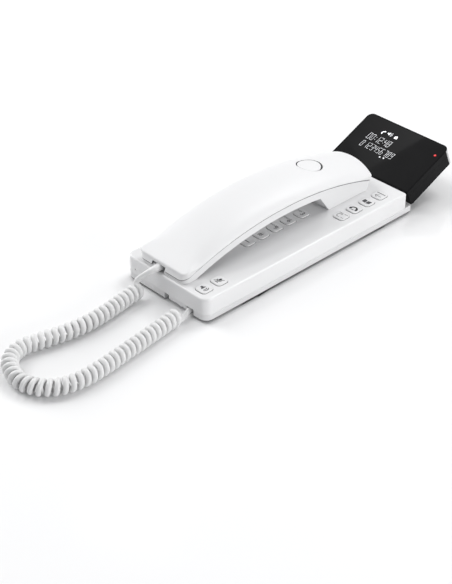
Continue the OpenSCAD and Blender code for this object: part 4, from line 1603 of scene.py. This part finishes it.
@dataclass(frozen=True)
class Card:
    """A small soft card that glosses one side of the display, fading away from its edge.

    Args:
        place: Its middle.
        away: The way it faces.
        edge: Direction of its bright edge.
        wide: Size across the fade.
        tall: Size along the edge.
        watts: Its power.
        fades: What is left of it at the dim end of each side.
    """

    place: Point = (-0.5098, 0.2327, 0.7646)
    away: Point = (0.5523, -0.1164, -0.8255)
    edge: Point = (0.4793, 0.8545, 0.2002)
    wide: float = 0.075
    tall: float = 0.131
    watts: float = 0.06
    fades: tuple[tuple[str, float], ...] = (("X", 0.12), ("Y", 0.3))

    def build(self) -> None:
        """Hang the card."""
        data = bpy.data.lights.new("card_light", "AREA")
        data.shape = "RECTANGLE"
        data.size = self.wide
        data.size_y = self.tall
        data.energy = self.watts
        data.use_nodes = True
        tree = data.node_tree
        link = tree.links.new
        where = add_node(tree, "NewGeometry")
        split = add_node(tree, "SeparateXYZ")
        link(where.outputs["Parametric"], split.inputs["Vector"])
        both = add_node(tree, "Math")
        both.operation = "MULTIPLY"
        for i, (name, left) in enumerate(self.fades):
            fade = add_node(tree, "MapRange", To_Min=left, To_Max=1.0)
            link(split.outputs[name], fade.inputs["Value"])
            link(fade.outputs["Result"], both.inputs[i])
        link(both.outputs["Value"], tree.nodes["Emission"].inputs["Strength"])
        z = -Vector(self.away).normalized()
        y = (Vector(self.edge) - z * Vector(self.edge).dot(z)).normalized()
        obj = in_scene("card_light", data)
        obj.matrix_world = Matrix((y.cross(z), y, z)).transposed().to_4x4()
        obj.location = self.place
        log.info("light card_light")


@dataclass
class Stage:
    """The floor, the light and the white surroundings.

    Args:
        size: Width of the floor in metres.
        tiles: Tiles along a side of the floor.
        glow: Strength of the surroundings as light.
        tint: Their colour as light.
        lamps: The soft lights.
        card: The card for the display.
    """

    size: float = 8.0
    tiles: int = 8
    glow: float = 0.34
    tint: tuple[float, float, float, float] = (0.97, 0.98, 1.0, 1.0)
    lamps: tuple[Lamp, ...] = (
        Lamp("left_light", (-1.8, -0.2, 0.9), 1.2, 15.0),
        Lamp("high_left_light", (-1.15, -0.6, 1.65), 0.9, 13.0),
        Lamp("near_light", (-1.0, -1.4, 1.1), 1.2, 2.0),
        Lamp("far_right_light", (1.3, 1.3, 0.9), 1.2, 3.5),
        Lamp("low_right_light", (1.5, 0.1, 0.35), 0.6, 11.0, (0.0, 0.0, 0.02)),
        Lamp("far_light", (0.0, 1.1, 1.7), 0.9, 17.0))
    card: Card = Card()

    def floor(self) -> None:
        """Lay a wide pale floor."""
        bm = bmesh.new()
        n = self.tiles
        grid = [[bm.verts.new(((i / n - 0.5) * self.size, (j / n - 0.5) * self.size, 0.0))
                 for i in range(n + 1)] for j in range(n + 1)]
        for low, high in zip(grid, grid[1:]):
            for i in range(n):
                bm.faces.new((low[i], low[i + 1], high[i + 1], high[i]))
        mesh_object("floor", bm, Finishes.FLOOR)

    def world(self) -> None:
        """Make the surroundings white to the camera and in reflections, and softer as light."""
        world = bpy.data.worlds.new("surroundings")
        bpy.context.scene.world = world
        world.use_nodes = True
        tree = world.node_tree
        tree.nodes.clear()
        link = tree.links.new
        path = add_node(tree, "LightPath")
        mirrored, white = add_node(tree, "Math"), add_node(tree, "Math")
        mirrored.operation = white.operation = "MAXIMUM"
        link(path.outputs["Is Glossy Ray"], mirrored.inputs[0])
        link(path.outputs["Is Transmission Ray"], mirrored.inputs[1])
        link(path.outputs["Is Camera Ray"], white.inputs[0])
        link(mirrored.outputs["Value"], white.inputs[1])
        light = add_node(tree, "Background", Color=self.tint, Strength=self.glow)
        seen = add_node(tree, "Background", Color=(1.0, 1.0, 1.0, 1.0), Strength=1.0)
        mix = add_node(tree, "MixShader")
        link(white.outputs["Value"], mix.inputs["Fac"])
        link(light.outputs["Background"], mix.inputs[1])
        link(seen.outputs["Background"], mix.inputs[2])
        link(mix.outputs["Shader"], add_node(tree, "OutputWorld").inputs["Surface"])
        log.info("surroundings")

    def build(self) -> None:
        """Set the stage."""
        self.floor()
        self.world()
        for light in (*self.lamps, self.card):
            light.build()
        bpy.context.scene.view_settings.view_transform = "Standard"


def dress_nodes() -> None:
    """Give every CAD node its finish, by its name or by how its name starts."""
    f = Finishes
    made_of = {
        f.BOARD: "main_board display_board", f.RUBBER: "number_mat function_mat audio_mat",
        f.CAPSULE: "loudspeaker base_mic receiver transmitter",
        f.SOCKET: "base_jack line_jack handset_socket",
        f.ZINC: "hook_spring hinge_pin_left hinge_pin_right", f.GRILLE: "receiver_grille",
        f.WEIGHT: "handset_weight", f.PLUG: "handset_plug base_plug", f.LCD: "lcd_panel",
        f.LENS: "display_lens", f.LAMP: "message_lamp"}
    named = {name: finish for finish, names in made_of.items() for name in names.split()}
    starts = {"foot_": f.RUBBER, "screw_": f.ZINC, "key_": f.KEY, "display_": f.BLACK,
              "curly_": f.CORD, "handset_": f.HAND}
    for name, node in frame["nodes"].items():
        alike = [finish for start, finish in starts.items() if name.startswith(start)]
        paint(node, named.get(name, alike[0] if alike else f.COVER))
    log.info("dressed %d CAD nodes", len(frame["nodes"]))


def main() -> None:
    """Build the camera and the cord, then the telephone and its stage."""
    Camera().build()
    CurlyCord().build()
    dress_nodes()
    for group in (Base(), Keys(), Display(), Handset(), Stage()):
        group.build()


if __name__ == "__main__":
    main()
